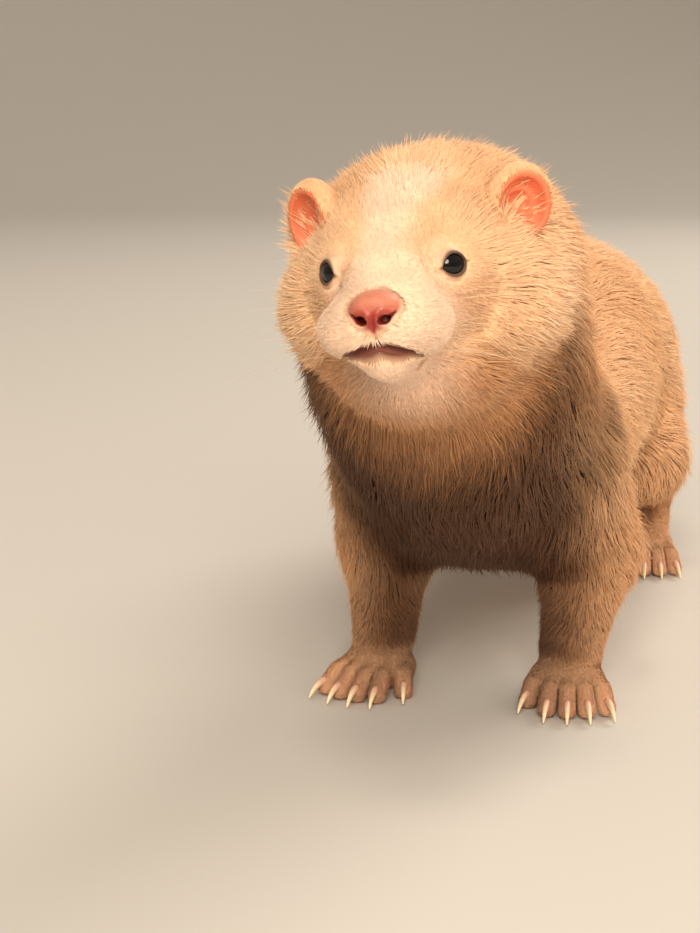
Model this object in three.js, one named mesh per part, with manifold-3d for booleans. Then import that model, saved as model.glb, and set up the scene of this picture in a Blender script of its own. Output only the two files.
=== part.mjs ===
// A ferret (Mustela furo): a big adult male in full winter coat, life size, standing on four feet.
// Millimetres. +Z is up, the animal faces -Y and its left side is +X. The solids are the outline of
// the coat, from the nose to the tip of the tail, parted into head, neck, trunk, legs and tail.
// The whole animal is one smooth field of blended flesh. Each part is a mesh of that field, trimmed
// by thin cuts, so that neighbours meet face to face.

import * as THREE from "three";
import { mergeVertices } from "three/addons/utils/BufferGeometryUtils.js";
import Module from "manifold-3d";

const wasm = await Module();
wasm.setup();

// Driving dimensions
const BACK_HEIGHT = 121; // floor to the top of the arched back
const BELLY_HEIGHT = 31; // floor to the belly
const TRUNK_WIDTH = 82; // across the loins
const TRUNK_LENGTH = 202; // shoulders to rump
const TAIL_LENGTH = 136;
const EYE_HEIGHT = 128; // floor to the eyes, head raised
const EYE_FORWARD = 194; // eyes ahead of the middle of the trunk
const HEAD_ROLL = 5; // degrees, left side up
const MUZZLE_LENGTH = 27; // eyes to the front of the nose
const CHEEK_WIDTH = 70;
const EYE_SPACING = 24;
const EYE_RADIUS = 4;
const EYE_DEPTH = 2.6; // middle of the eye under the coat
const EAR_SPACING = 48.5;
const EAR_RADIUS = 8.3;
const EAR_TURN = 38; // degrees outwards from straight ahead
const EAR_TILT = 14;
const STANCE_FORE = 54; // between the middles of the forefeet
const STANCE_HIND = 64;
const TOE_RADIUS = 2.8;
const CLAW_LENGTH = 7;
const GAP = 0.45; // the thin cut between neighbouring parts
const SLACK = 0.08; // how far facets may move when slivers are merged

// Fineness of the faceted solids
const CELL = { trunk: 12, head: 5.6, ear: 1.9, leg: 9, paw: 3.7, tail: 8.5 };

const at = (x, y, z) => new THREE.Vector3(x, y, z);
const radians = THREE.MathUtils.degToRad;

// Fields: each is a function of a point that is negative inside the flesh.

// A round cone, of radius ra at a and rb at b, stretched sideways by wide.
function bone(a, b, ra, rb, wide = 1) {
  const along = b.clone().sub(a);
  along.x /= wide;
  const squared = along.lengthSq();
  return (p) => {
    const x = (p.x - a.x) / wide;
    const y = p.y - a.y;
    const z = p.z - a.z;
    const share = THREE.MathUtils.clamp((x * along.x + y * along.y + z * along.z) / squared, 0, 1);
    const off = Math.hypot(x - share * along.x, y - share * along.y, z - share * along.z);
    return off - ra - share * (rb - ra);
  };
}

function egg(centre, rx, ry, rz) {
  return (p) => {
    const x = (p.x - centre.x) / rx;
    const y = (p.y - centre.y) / ry;
    const z = (p.z - centre.z) / rz;
    const near = Math.hypot(x, y, z);
    const steep = Math.hypot(x / rx, y / ry, z / rz);
    return steep > 0 ? (near * (near - 1)) / steep : -Math.min(rx, ry, rz);
  };
}

// The union of fields, with fillets of about k where they meet.
function blend(k, fields) {
  return (p) =>
    fields.reduce((best, field) => {
      const d = field(p);
      const near = Math.max(k - Math.abs(best - d), 0) / k;
      return Math.min(best, d) - (near * near * k) / 4;
    }, Infinity);
}

const nearest = (fields) => (p) => Math.min(...fields.map((field) => field(p)));
const without = (field, hollow) => (p) => Math.max(field(p), -hollow(p));

// A tube through stations of { at, r, wide }, smooth from one to the next.
function tube(stations, steps = 5) {
  const line = new THREE.CatmullRomCurve3(stations.map((s) => s.at), false, "catmullrom", 0.5);
  const sizes = stations.map((s) => at(s.r, s.wide ?? 1, 0));
  const girth = new THREE.CatmullRomCurve3(sizes, false, "catmullrom", 0.5);
  const count = (stations.length - 1) * steps;
  const bones = [];
  for (let i = 0; i < count; i++) {
    const [start, end] = [i / count, (i + 1) / count];
    const [from, to] = [girth.getPoint(start), girth.getPoint(end)];
    bones.push(bone(line.getPoint(start), line.getPoint(end), from.x, to.x, from.y));
  }
  return nearest(bones);
}

// The head's own frame has its origin midway between the eyes and the axes of the body.
const headPose = new THREE.Matrix4()
  .makeRotationY(radians(-HEAD_ROLL))
  .setPosition(0, -EYE_FORWARD, EYE_HEIGHT);
const headInverse = headPose.clone().invert();
const onHead = (x, y, z) => at(x, y, z).applyMatrix4(headPose);
const inHead = (field) => (p) => field(p.clone().applyMatrix4(headInverse));

// Trunk and neck: each section runs from a lowest to a highest point.
function section(y, low, high, width) {
  const r = (high - low) / 2;
  return { at: at(0, y, low + r), r, wide: width / (2 * r) };
}

const SHOULDER_Y = -92;
const RUMP_Y = SHOULDER_Y + TRUNK_LENGTH;
const trunk = tube([
  section(RUMP_Y, 52, 88, 42),
  section(RUMP_Y - 14, 40, 103, 62),
  section(RUMP_Y - 42, BELLY_HEIGHT + 5, BACK_HEIGHT - 3, TRUNK_WIDTH - 4),
  section(RUMP_Y - 84, BELLY_HEIGHT + 2, BACK_HEIGHT, TRUNK_WIDTH),
  section(RUMP_Y - 126, BELLY_HEIGHT - 1, BACK_HEIGHT - 7, TRUNK_WIDTH - 1),
  section(SHOULDER_Y + 44, BELLY_HEIGHT - 3, BACK_HEIGHT - 14, TRUNK_WIDTH - 5),
  section(SHOULDER_Y + 12, BELLY_HEIGHT + 1, BACK_HEIGHT - 14, TRUNK_WIDTH - 8),
  { at: at(0, SHOULDER_Y - 20, 80), r: 35.5, wide: 1.08 },
  { at: at(0, SHOULDER_Y - 44, 102), r: 34, wide: 1.15 },
  { at: onHead(0, 52, -3.4), r: 29.5, wide: 1.22 },
  { at: onHead(0, 40, -4), r: 19, wide: 1.1 },
]);

// The face, in the head's frame.
const pair = (make) => [make(1), make(-1)];
const noseAt = at(0, 4.2 - MUZZLE_LENGTH, -7.8);

// A wedge that widens from the muzzle to the cheeks: depth behind the eyes, middle, half the
// height and half the width of each section.
const wedge = [
  [7 - MUZZLE_LENGTH, -9.4, 7.4, 8.4],
  [15 - MUZZLE_LENGTH, -8.6, 9, 10.6],
  [-5, -7, 11.8, 13],
  [1, -5.2, 14.8, 17.8],
  [8, -3.2, 18.4, 21.6],
  [18, -1.6, 22.4, 23.6],
  [30, -2, 25.8, 27.2],
  [42, -3, 27.8, 31],
].map(([y, z, high, wide]) => ({ at: at(0, y, z), r: high, wide: wide / high }));

const whiskerPads = pair((s) => egg(at(s * 6.6, 11 - MUZZLE_LENGTH, -11.8), 8, 9, 6.6));
const chin = bone(at(0, 4, -18), at(0, 11 - MUZZLE_LENGTH, -18.2), 9.5, 5);
const cheeks = pair((s) => egg(at(s * (CHEEK_WIDTH / 2 - 16), 22, -10), 16, 20, 17));
const throat = egg(at(0, 19, -22), 24, 23, 17);
const skull = blend(5, [tube(wedge), ...whiskerPads, chin, throat, ...cheeks]);

// Each eye lies this far under the coat, where the face is EYE_SPACING across.
function eyeAt(side) {
  const place = at((side * EYE_SPACING) / 2, -MUZZLE_LENGTH, 0);
  while (skull(place) > -EYE_DEPTH) place.y += 0.05;
  return place;
}

const earAt = (side) => at((side * EAR_SPACING) / 2, 23, 11);

// A cup that opens forwards and outwards.
function ear(side) {
  const turn = new THREE.Matrix4()
    .makeRotationZ(radians(side * EAR_TURN))
    .multiply(new THREE.Matrix4().makeRotationY(radians(side * EAR_TILT)))
    .setPosition(earAt(side));
  const inverse = turn.clone().invert();
  const shell = egg(at(0, 0, 0), EAR_RADIUS, 5, EAR_RADIUS + 1);
  const hollow = egg(at(0, -3.6, -0.5), EAR_RADIUS - 2, 5.6, EAR_RADIUS - 1.2);
  const cup = without(shell, hollow);
  return (p) => cup(p.clone().applyMatrix4(inverse));
}

const nosePad = egg(noseAt, 5.5, 4.3, 4.5);
const head = inHead(blend(1.6, [skull, nosePad]));

// Legs: side is 1 for the left and -1 for the right.
const forefootAt = (side) => at((side * STANCE_FORE) / 2, SHOULDER_Y - 6, 0);
const hindfootAt = (side) => at((side * STANCE_HIND) / 2, RUMP_Y - 44, 0);

function foreleg(side) {
  const elbow = at(side * 29.5, SHOULDER_Y + 17, 40);
  const wrist = forefootAt(side).add(at(0, 8, 15));
  const shoulder = egg(at(side * 20, SHOULDER_Y + 8, 68), 20, 26, 29);
  const upper = bone(at(side * 24, SHOULDER_Y - 2, 61), elbow, 19, 15.5);
  return {
    elbow,
    wrist,
    upper: blend(8, [shoulder, upper]),
    lower: bone(elbow, wrist, 14.5, 9.6),
  };
}

function hindleg(side) {
  const knee = at(side * 31, RUMP_Y - 53, 42);
  const hock = at(side * 29.5, RUMP_Y - 14, 23);
  const haunch = egg(at(side * 18.5, RUMP_Y - 31, 67), 22.5, 33, 35);
  const upper = bone(at(side * 22.5, RUMP_Y - 38, 56), knee, 23.5, 17);
  const heel = hindfootAt(side).add(at(0, 6, 9));
  return {
    knee,
    hock,
    upper: blend(8, [haunch, upper]),
    lower: blend(5, [bone(knee, hock, 15, 9.6), bone(hock, heel, 9.2, 8)]),
  };
}

// A paw on the floor. Toes fan out from its middle, the first on the inner side.
function paw(side, middle, outward, reach, spread) {
  const heading = radians(side * outward);
  const place = (x, forward, z) =>
    at(side * x, -forward, 0)
      .applyAxisAngle(at(0, 0, 1), heading)
      .add(middle)
      .setZ(z);
  const toes = [-2, -1, 0, 1, 2].map((rank) => {
    const inner = rank === -2 ? 0.62 : 1;
    const length = reach * inner * (1 - 0.055 * rank * rank);
    const bend = rank * spread;
    const start = place(rank * 3.6, inner === 1 ? 1 : -2, 6.6);
    const knuckle = place(rank * 4 + bend * 0.6, length * 0.6, 6);
    const tip = place(rank * 4.2 + bend, length, TOE_RADIUS - 0.35);
    return { start, knuckle, tip, away: tip.clone().sub(start).setZ(0).normalize() };
  });
  const toeFlesh = toes.map(({ start, knuckle, tip }) =>
    nearest([
      bone(start, knuckle, TOE_RADIUS + 0.5, TOE_RADIUS + 0.1),
      bone(knuckle, tip, TOE_RADIUS + 0.1, TOE_RADIUS),
    ]),
  );
  const palm = egg(place(0, -1, 6.2), 10.4, 9, 7);
  const flesh = blend(1.6, [palm, nearest(toeFlesh)]);
  return { toes, flesh, place };
}

const forepaw = (side) => paw(side, forefootAt(side), 8, 15.5, 1.1);
const hindpaw = (side) => paw(side, hindfootAt(side), 6, 16.5, 1);

const SIDES = { left: 1, right: -1 };
const limbs = Object.entries(SIDES).flatMap(([name, side]) => [
  { kind: "fore", name, side, leg: foreleg(side), paw: forepaw(side) },
  { kind: "hind", name, side, leg: hindleg(side), paw: hindpaw(side) },
]);

const tailRoot = at(0, RUMP_Y - 2, 77);
const tailPoint = (share, z) => at(0, tailRoot.y + TAIL_LENGTH * share, z);
const tail = tube([
  { at: tailPoint(-0.12, 78), r: 16 },
  { at: tailPoint(0.1, 73), r: 14.5 },
  { at: tailPoint(0.35, 62), r: 14 },
  { at: tailPoint(0.6, 49), r: 13.5 },
  { at: tailPoint(0.82, 39), r: 10.5 },
  { at: tailPoint(1, 34), r: 4.5 },
]);

const uppers = limbs.map((limb) => limb.leg.upper);
const torso = blend(12, [trunk, ...uppers, tail]);
const feet = limbs.map((limb) => blend(4, [limb.leg.lower, limb.paw.flesh]));
const front = blend(12, [torso, head]);
const animal = blend(8, [front, ...feet]);

// Meshing: surface nets over a grid of cells, then each corner is drawn on to the surface.

const CORNERS = [0, 1, 2, 3, 4, 5, 6, 7].map((c) => [c & 1, (c >> 1) & 1, (c >> 2) & 1]);
const EDGES = CORNERS.flatMap((_, a) => [1, 2, 4].filter((bit) => !(a & bit)).map((bit) => [a, a | bit]));

function netOf(whole, low, high, cell) {
  const middle = low.clone().add(high).multiplyScalar(0.5);
  const half = high.clone().sub(low).multiplyScalar(0.5);
  const inBox = (p) =>
    Math.max(
      Math.abs(p.x - middle.x) - half.x,
      Math.abs(p.y - middle.y) - half.y,
      Math.abs(p.z - middle.z) - half.z,
    );
  const field = (p) => Math.max(whole(p), inBox(p));
  const start = low.clone().addScalar(-1.37 * cell);
  const [nx, ny, nz] = high.clone().sub(start).toArray().map((w) => Math.ceil(w / cell) + 3);
  const corner = (i, j, k) => (k * ny + j) * nx + i;
  const place = (i, j, k) => at(i, j, k).multiplyScalar(cell).add(start);
  const value = new Float64Array(nx * ny * nz);
  for (let k = 0; k < nz; k++)
    for (let j = 0; j < ny; j++)
      for (let i = 0; i < nx; i++) value[corner(i, j, k)] = field(place(i, j, k));

  const vertexOf = new Map();
  const points = [];
  for (let k = 0; k < nz - 1; k++)
    for (let j = 0; j < ny - 1; j++)
      for (let i = 0; i < nx - 1; i++) {
        const f = CORNERS.map(([x, y, z]) => value[corner(i + x, j + y, k + z)]);
        const crossings = EDGES.filter(([a, b]) => f[a] < 0 !== f[b] < 0);
        if (!crossings.length) continue;
        const sum = at(0, 0, 0);
        for (const [a, b] of crossings) {
          const share = f[a] / (f[a] - f[b]);
          const [p, q] = [at(...CORNERS[a]), at(...CORNERS[b])];
          sum.add(p.lerp(q, share));
        }
        vertexOf.set(corner(i, j, k), points.length);
        points.push(sum.divideScalar(crossings.length).add(at(i, j, k)).multiplyScalar(cell).add(start));
      }
  points.forEach((p) => settle(p, field, cell));

  const index = [];
  const step = [1, nx, nx * ny];
  for (let k = 1; k < nz - 1; k++)
    for (let j = 1; j < ny - 1; j++)
      for (let i = 1; i < nx - 1; i++)
        for (let axis = 0; axis < 3; axis++) {
          const here = corner(i, j, k);
          const inside = value[here] < 0;
          if (inside === value[here + step[axis]] < 0) continue;
          const [u, v] = [step[(axis + 1) % 3], step[(axis + 2) % 3]];
          const ring = [here - u - v, here - v, here, here - u].map((c) => vertexOf.get(c));
          if (!inside) ring.reverse();
          index.push(ring[0], ring[1], ring[2], ring[0], ring[2], ring[3]);
        }
  return meshOf(points, index);
}

function meshOf(points, index) {
  const flat = new Float32Array(points.flatMap((p) => p.toArray()));
  return new THREE.BufferGeometry()
    .setAttribute("position", new THREE.BufferAttribute(flat, 3))
    .setIndex(index);
}

// Newton steps down the field's slope, each kept under a third of a cell.
function settle(p, field, cell) {
  const h = 0.05;
  for (let turn = 0; turn < 3; turn++) {
    const f = field(p);
    const slope = at(
      field(at(p.x + h, p.y, p.z)) - f,
      field(at(p.x, p.y + h, p.z)) - f,
      field(at(p.x, p.y, p.z + h)) - f,
    ).divideScalar(h);
    const move = slope.multiplyScalar(-f / Math.max(slope.lengthSq(), 0.25));
    p.add(move.clampLength(0, cell / 3));
  }
}

// Solids

function toSolid(geometry) {
  const bare = geometry.clone();
  bare.deleteAttribute("normal");
  bare.deleteAttribute("uv");
  const merged = mergeVertices(bare, 1e-3);
  return new wasm.Manifold(
    new wasm.Mesh({
      numProp: 3,
      vertProperties: new Float32Array(merged.attributes.position.array),
      triVerts: new Uint32Array(merged.index.array),
    }),
  );
}

const largest = (solid) =>
  solid.decompose().reduce((best, piece) => (piece.volume() > best.volume() ? piece : best));

// A solid of a field, in a box. Facets that say little are merged.
const solidOf = (field, low, high, cell) => toSolid(netOf(field, low, high, cell)).simplify(cell / 9);

// True where every edge joins just two facets, also after vertices at one place are merged.
function isClean(solid) {
  const { vertProperties, triVerts } = solid.getMesh();
  const place = (v) => [0, 1, 2].map((i) => vertProperties[3 * v + i].toFixed(3)).join();
  const seen = new Set();
  for (let t = 0; t < triVerts.length; t++) {
    const next = t % 3 === 2 ? t - 2 : t + 1;
    const edge = `${place(triVerts[t])} ${place(triVerts[next])}`;
    if (seen.has(edge)) return false;
    seen.add(edge);
  }
  return true;
}

// Makes a solid with cells of the given size, or slightly larger ones where that isn't clean.
function cleanly(cell, make) {
  for (let extra = 0; extra < 1; extra += 0.04) {
    const solid = make(cell * (1 + extra)).simplify(SLACK);
    if (isClean(solid)) return solid;
  }
  throw new Error("no clean solid");
}

// The side of a plane that its normal points to, less half of the thin cut.
const beyond = (solid, point, normal) =>
  solid.trimByPlane(normal.toArray(), normal.dot(point) + GAP / 2);
const onFloor = (solid) => solid.trimByPlane([0, 0, 1], 0);

// A cutter is made at its own size and, for the part beside it, one gap larger.
const ovalCutter = (centre, rx, ry, rz, pose) => (grow) => {
  const oval = new THREE.SphereGeometry(1, 13, 8).scale(rx + grow, ry + grow, rz + grow);
  oval.translate(centre.x, centre.y, centre.z);
  return toSolid(pose ? oval.applyMatrix4(pose) : oval);
};
const boxCutter = (low, high) => (grow) => {
  const size = high.clone().sub(low).addScalar(2 * grow);
  const middle = high.clone().add(low).multiplyScalar(0.5);
  return toSolid(new THREE.BoxGeometry(...size.toArray()).translate(middle.x, middle.y, middle.z));
};

// Each leg parts from the trunk by an oval over its muscle and a block around what stands below.
function legCutter({ kind, side }) {
  const [inner, outer] = [side * 13, side * 64];
  const [middle, size, back, front] =
    kind === "fore"
      ? [at(side * 33, SHOULDER_Y + 7, 60), [22, 27, 32], SHOULDER_Y + 34, SHOULDER_Y - 40]
      : [at(side * 34, RUMP_Y - 33, 60), [23, 33, 35], RUMP_Y + 3, RUMP_Y - 72];
  const low = at(Math.min(inner, outer), front, -3);
  const high = at(Math.max(inner, outer), back, 43);
  return (grow) => ovalCutter(middle, ...size)(grow).add(boxCutter(low, high)(grow));
}

const UP = at(0, 0, 1);
const DOWN = at(0, 0, -1);
const BACK = at(0, 1, 0);
const FRONT = at(0, -1, 0);
const flip = (normal) => normal.clone().negate();

const nodes = {};

// Trunk
const legCutters = limbs.map(legCutter);
let trunkSolid = solidOf(torso, at(-60, SHOULDER_Y - 70, 8), at(60, RUMP_Y + 60, 150), CELL.trunk);
for (const cutter of legCutters) trunkSolid = trunkSolid.subtract(cutter(GAP));
trunkSolid = largest(trunkSolid);

const neckEnd = at(0, SHOULDER_Y - 20, 82);
const neckWay = at(0, -1, 0.55).normalize();
const tailCut = at(0, RUMP_Y + 14, 76);
const tailWay = at(0, 1, -0.3).normalize();
const chestEnd = at(0, SHOULDER_Y + 50, 0);
const bellyEnd = at(0, RUMP_Y - 68, 0);
const ahead = beyond(trunkSolid, chestEnd, FRONT);
nodes.chest = beyond(ahead, neckEnd, flip(neckWay));
nodes.belly = beyond(beyond(trunkSolid, chestEnd, BACK), bellyEnd, FRONT);
nodes.rump = beyond(beyond(trunkSolid, bellyEnd, BACK), tailCut, flip(tailWay));

// Neck and head
const headCut = onHead(0, 36, -4);
const headWay = at(0, -1, 0.1).normalize().transformDirection(headPose);
const neckLow = at(-48, headCut.y - 14, 40);
const neckHigh = at(48, neckEnd.y + 40, 175);
let neckSolid = solidOf(front, neckLow, neckHigh, CELL.leg);
for (const cutter of legCutters) neckSolid = neckSolid.subtract(cutter(GAP));
nodes.neck = largest(beyond(beyond(neckSolid, neckEnd, neckWay), headCut, flip(headWay)));

const headLow = onHead(0, -MUZZLE_LENGTH, 0).add(at(-46, -8, -62));
const headHigh = headCut.clone().add(at(46, 12, 40));
let headSolid = beyond(solidOf(front, headLow, headHigh, CELL.head), headCut, headWay);

const jawCutter = (grow) => {
  const block = new THREE.BoxGeometry(60, 40, 30).translate(0, -20, -15);
  block.scale(1 + grow / 30, 1 + grow / 20, 1 + grow / 15).translate(0, grow, grow);
  block.rotateX(radians(-6)).translate(0, -2, -17.4);
  return toSolid(block.applyMatrix4(headPose));
};
nodes.lower_jaw = largest(headSolid.intersect(jawCutter(0)));
headSolid = headSolid.subtract(jawCutter(GAP));

const noseCutter = ovalCutter(noseAt.clone().add(at(0, -2.2, 0.4)), 6.6, 4.4, 5.6, headPose);
nodes.nose = largest(headSolid.intersect(noseCutter(0)));
headSolid = headSolid.subtract(noseCutter(GAP));

for (const [name, side] of Object.entries(SIDES)) {
  const middle = onHead(...earAt(side).toArray());
  const reach = at(13, 13, 13);
  const clear = (p) => front(p) - GAP;
  const cup = without(inHead(ear(side)), clear);
  const [earLow, earHigh] = [middle.clone().sub(reach), middle.clone().add(reach)];
  nodes[`ear_${name}`] = cleanly(CELL.ear, (cell) => largest(solidOf(cup, earLow, earHigh, cell)));

  const eyeball = (grow) => {
    const ball = new THREE.SphereGeometry(EYE_RADIUS + grow, 12, 8);
    const centre = eyeAt(side);
    return toSolid(ball.translate(centre.x, centre.y, centre.z).applyMatrix4(headPose));
  };
  nodes[`eye_${name}`] = eyeball(0);
  headSolid = headSolid.subtract(eyeball(GAP));
}
nodes.head = largest(headSolid);

// Tail
const tailLow = at(-36, RUMP_Y - 12, 18);
const tailHigh = at(36, RUMP_Y + TAIL_LENGTH + 10, 110);
let tailLeft = beyond(solidOf(torso, tailLow, tailHigh, CELL.tail), tailCut, tailWay);
for (const [name, share] of [["tail_base", 0.36], ["tail_middle", 0.69]]) {
  const cut = tailPoint(share, 60);
  nodes[name] = largest(beyond(tailLeft, cut, FRONT));
  tailLeft = beyond(tailLeft, cut, BACK);
}
nodes.tail_tip = largest(tailLeft);

// A claw curves forwards and down from the end of its toe, and stops above the floor.
function claw(toe, grow) {
  const along = (far, z) => toe.tip.clone().addScaledVector(toe.away, 0.8 + far).setZ(z);
  const curve = new THREE.QuadraticBezierCurve3(
    along(-grow, 4.4),
    along(CLAW_LENGTH * 0.6, 4.5),
    along(CLAW_LENGTH + grow, 0.9),
  );
  const sideways = at(-toe.away.y, toe.away.x, 0);
  const [rings, around] = [3, 5];
  const points = [curve.getPoint(0)];
  for (let i = 0; i < rings; i++) {
    const share = i / rings;
    const centre = curve.getPoint(share);
    const over = curve.getTangent(share).cross(sideways).normalize();
    const radius = 1.25 * Math.sqrt(1 - share * 0.97) + grow;
    for (let j = 0; j < around; j++) {
      const turn = (-2 * Math.PI * j) / around;
      const rim = centre.clone().addScaledVector(sideways, Math.cos(turn) * radius * 0.8);
      points.push(rim.addScaledVector(over, Math.sin(turn) * radius));
    }
  }
  points.push(curve.getPoint(1));
  const last = points.length - 1;
  const ring = (i, j) => 1 + i * around + (j % around);
  const index = [];
  for (let j = 0; j < around; j++) {
    index.push(0, ring(0, j), ring(0, j + 1));
    for (let i = 0; i < rings - 1; i++) {
      index.push(ring(i, j), ring(i + 1, j), ring(i + 1, j + 1));
      index.push(ring(i, j), ring(i + 1, j + 1), ring(i, j + 1));
    }
    index.push(ring(rings - 1, j), last, ring(rings - 1, j + 1));
  }
  return toSolid(meshOf(points, index));
}

// Legs: an upper part, a lower part and a paw with its claws
limbs.forEach(({ kind, name, side, leg, paw: foot }, i) => {
  const joint = kind === "fore" ? leg.elbow : leg.knee;
  const end = kind === "fore" ? leg.wrist : leg.hock;
  const low = at(Math.min(side * 4, side * 62), Math.min(joint.y, foot.place(0, 0, 0).y) - 44, -3);
  const high = at(Math.max(side * 4, side * 62), end.y + 46, 112);
  const net = solidOf(animal, low, high, CELL.leg).intersect(legCutters[i](0));
  const upperCut = at(0, 0, joint.z + 1);
  const pawCut = at(0, 0, kind === "fore" ? 17 : 15);
  const [upperName, lowerName] = kind === "fore" ? ["upper_arm", "forearm"] : ["thigh", "shank"];
  const pawName = kind === "fore" ? "forepaw" : "hind_foot";
  nodes[`${upperName}_${name}`] = largest(beyond(net, upperCut, UP));
  nodes[`${lowerName}_${name}`] = largest(beyond(beyond(net, upperCut, DOWN), pawCut, UP));

  nodes[`${pawName}_${name}`] = cleanly(CELL.paw, (cell) => {
    const fine = solidOf(animal, low, high.clone().setZ(24), cell);
    const cut = onFloor(beyond(fine, pawCut, DOWN));
    return largest(foot.toes.reduce((solid, toe) => solid.subtract(claw(toe, GAP)), cut));
  });
  foot.toes.forEach((toe, rank) => {
    nodes[`claw_${kind}_${name}_${rank + 1}`] = claw(toe, 0);
  });
});

// Materials, by the colour of the coat where the part shows it

const COLOURS = {
  cream: 0xe9c795,
  gold: 0xcf9f68,
  brown: 0x8a5f40,
  pink: 0xd98a7c,
  eye: 0x120c0a,
  horn: 0xe6cfae,
};

function finishOf(name) {
  if (name.startsWith("claw")) return ["horn", 0.45];
  if (name.startsWith("eye")) return ["eye", 0.08];
  if (name === "nose" || name.startsWith("ear")) return ["pink", 0.5];
  if (/head|lower_jaw|neck/.test(name)) return ["cream", 0.85];
  if (/arm|thigh|shank|tail/.test(name)) return ["brown", 0.85];
  if (/paw|foot/.test(name)) return ["pink", 0.8];
  return ["gold", 0.85];
}

const ferret = new THREE.Group();
const bounds = new THREE.Box3();
for (const [name, solid] of Object.entries(nodes)) {
  const { vertProperties, triVerts } = solid.simplify(SLACK).getMesh();
  const geometry = new THREE.BufferGeometry()
    .setAttribute("position", new THREE.BufferAttribute(vertProperties, 3))
    .setIndex(new THREE.BufferAttribute(triVerts, 1));
  const [colour, roughness] = finishOf(name);
  const material = new THREE.MeshStandardMaterial({ color: COLOURS[colour], roughness, metalness: 0 });
  const mesh = new THREE.Mesh(geometry, material);
  mesh.name = name;
  ferret.add(mesh);
  geometry.computeBoundingBox();
  bounds.union(geometry.boundingBox);
}

// The origin is under the middle of the animal's bounding box, on the floor.
const centre = bounds.getCenter(at(0, 0, 0));
ferret.position.set(-centre.x, -centre.y, -bounds.min.z);

export default ferret;
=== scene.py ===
# A ferret (Mustela furo): a big adult male in full winter coat, life size, standing on four feet.
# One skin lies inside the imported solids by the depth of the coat. The coat itself is solid tufts that
# start in the skin and end at the solids' own outline. Eyes, claws and whiskers are pieces of their own.

import math

import bpy
import numpy as np
from mathutils import Matrix, Vector
from mathutils.kdtree import KDTree


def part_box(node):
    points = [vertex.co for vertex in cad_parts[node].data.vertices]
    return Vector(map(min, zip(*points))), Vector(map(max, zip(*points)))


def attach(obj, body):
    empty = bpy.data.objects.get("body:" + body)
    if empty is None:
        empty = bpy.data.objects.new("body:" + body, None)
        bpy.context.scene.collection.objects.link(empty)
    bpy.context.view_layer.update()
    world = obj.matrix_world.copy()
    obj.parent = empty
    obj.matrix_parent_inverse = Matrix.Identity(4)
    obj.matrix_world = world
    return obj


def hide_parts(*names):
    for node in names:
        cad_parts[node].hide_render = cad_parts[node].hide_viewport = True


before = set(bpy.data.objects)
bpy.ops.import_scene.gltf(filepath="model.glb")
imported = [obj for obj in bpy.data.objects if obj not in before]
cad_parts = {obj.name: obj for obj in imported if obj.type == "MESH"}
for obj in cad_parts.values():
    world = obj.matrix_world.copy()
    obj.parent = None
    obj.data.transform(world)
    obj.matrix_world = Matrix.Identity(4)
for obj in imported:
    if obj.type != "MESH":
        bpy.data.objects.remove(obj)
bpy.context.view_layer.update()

# Driving sizes in millimetres, as the solids have them. +Z is up, the animal faces -Y, left is +X.
MM = 0.001
BACK_HEIGHT = 121
BELLY_HEIGHT = 31
TRUNK_WIDTH = 82
TRUNK_LENGTH = 202
TAIL_LENGTH = 136
EYE_HEIGHT = 128
EYE_FORWARD = 194
HEAD_ROLL = 5
MUZZLE_LENGTH = 27
CHEEK_WIDTH = 70
EYE_SPACING = 24
EYE_RADIUS = 4
EYE_AHEAD = 4.5
EAR_SPACING = 48.5
EAR_RADIUS = 8.3
STANCE_FORE = 54
STANCE_HIND = 64
TOE_RADIUS = 2.8
CLAW_LENGTH = 7
SHOULDER_Y = -92
RUMP_Y = SHOULDER_Y + TRUNK_LENGTH
SIDES = {"left": 1, "right": -1}

SEED = 7
FAR = 1e3  # a field's value out of its reach


# Small tools

def at(x, y, z):
    return np.array([x, y, z], float)


def mix(a, b, share):
    return a + (b - a) * share


def smooth(low, high, value):
    """0 at low, 1 at high and smooth between; low may be the larger one."""
    t = np.clip((value - low) / (high - low), 0, 1)
    return t * t * (3 - 2 * t)


def bell(value, width):
    """1 where the value is 0, and smoothly less on both sides."""
    return np.exp(-(value / width) ** 2)


def unit(vectors):
    return vectors / np.maximum(np.linalg.norm(vectors, axis=-1, keepdims=True), 1e-9)


def direction(turn, rise):
    """The way that is turned left from straight ahead and rises, both in degrees."""
    a, e = math.radians(turn), math.radians(rise)
    return at(math.sin(a) * math.cos(e), -math.cos(a) * math.cos(e), math.sin(e))


def full_turn(around):
    """Angles all the way round, in equal steps."""
    return np.arange(around) * 2 * math.pi / around


def pair(make):
    return [make(1), make(-1)]


def curve(points, shares):
    """Points at these shares of a smooth line through the given ones."""
    points = np.asarray(points, float)
    ends = np.vstack([2 * points[0] - points[1], points, 2 * points[-1] - points[-2]])
    spot = np.clip(np.asarray(shares) * (len(points) - 1), 0, len(points) - 1)
    i = np.minimum(spot.astype(int), len(points) - 2)
    w = (spot - i)[:, None]
    p0, p1, p2, p3 = ends[i], ends[i + 1], ends[i + 2], ends[i + 3]
    t1, t2 = (p2 - p0) / 2, (p3 - p1) / 2
    return p1 + w * (t1 + w * (3 * (p2 - p1) - 2 * t1 - t2 + w * (2 * (p1 - p2) + t1 + t2)))


# Fields: each takes x, y and z of points sorted by y, and is negative inside the flesh.

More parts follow.
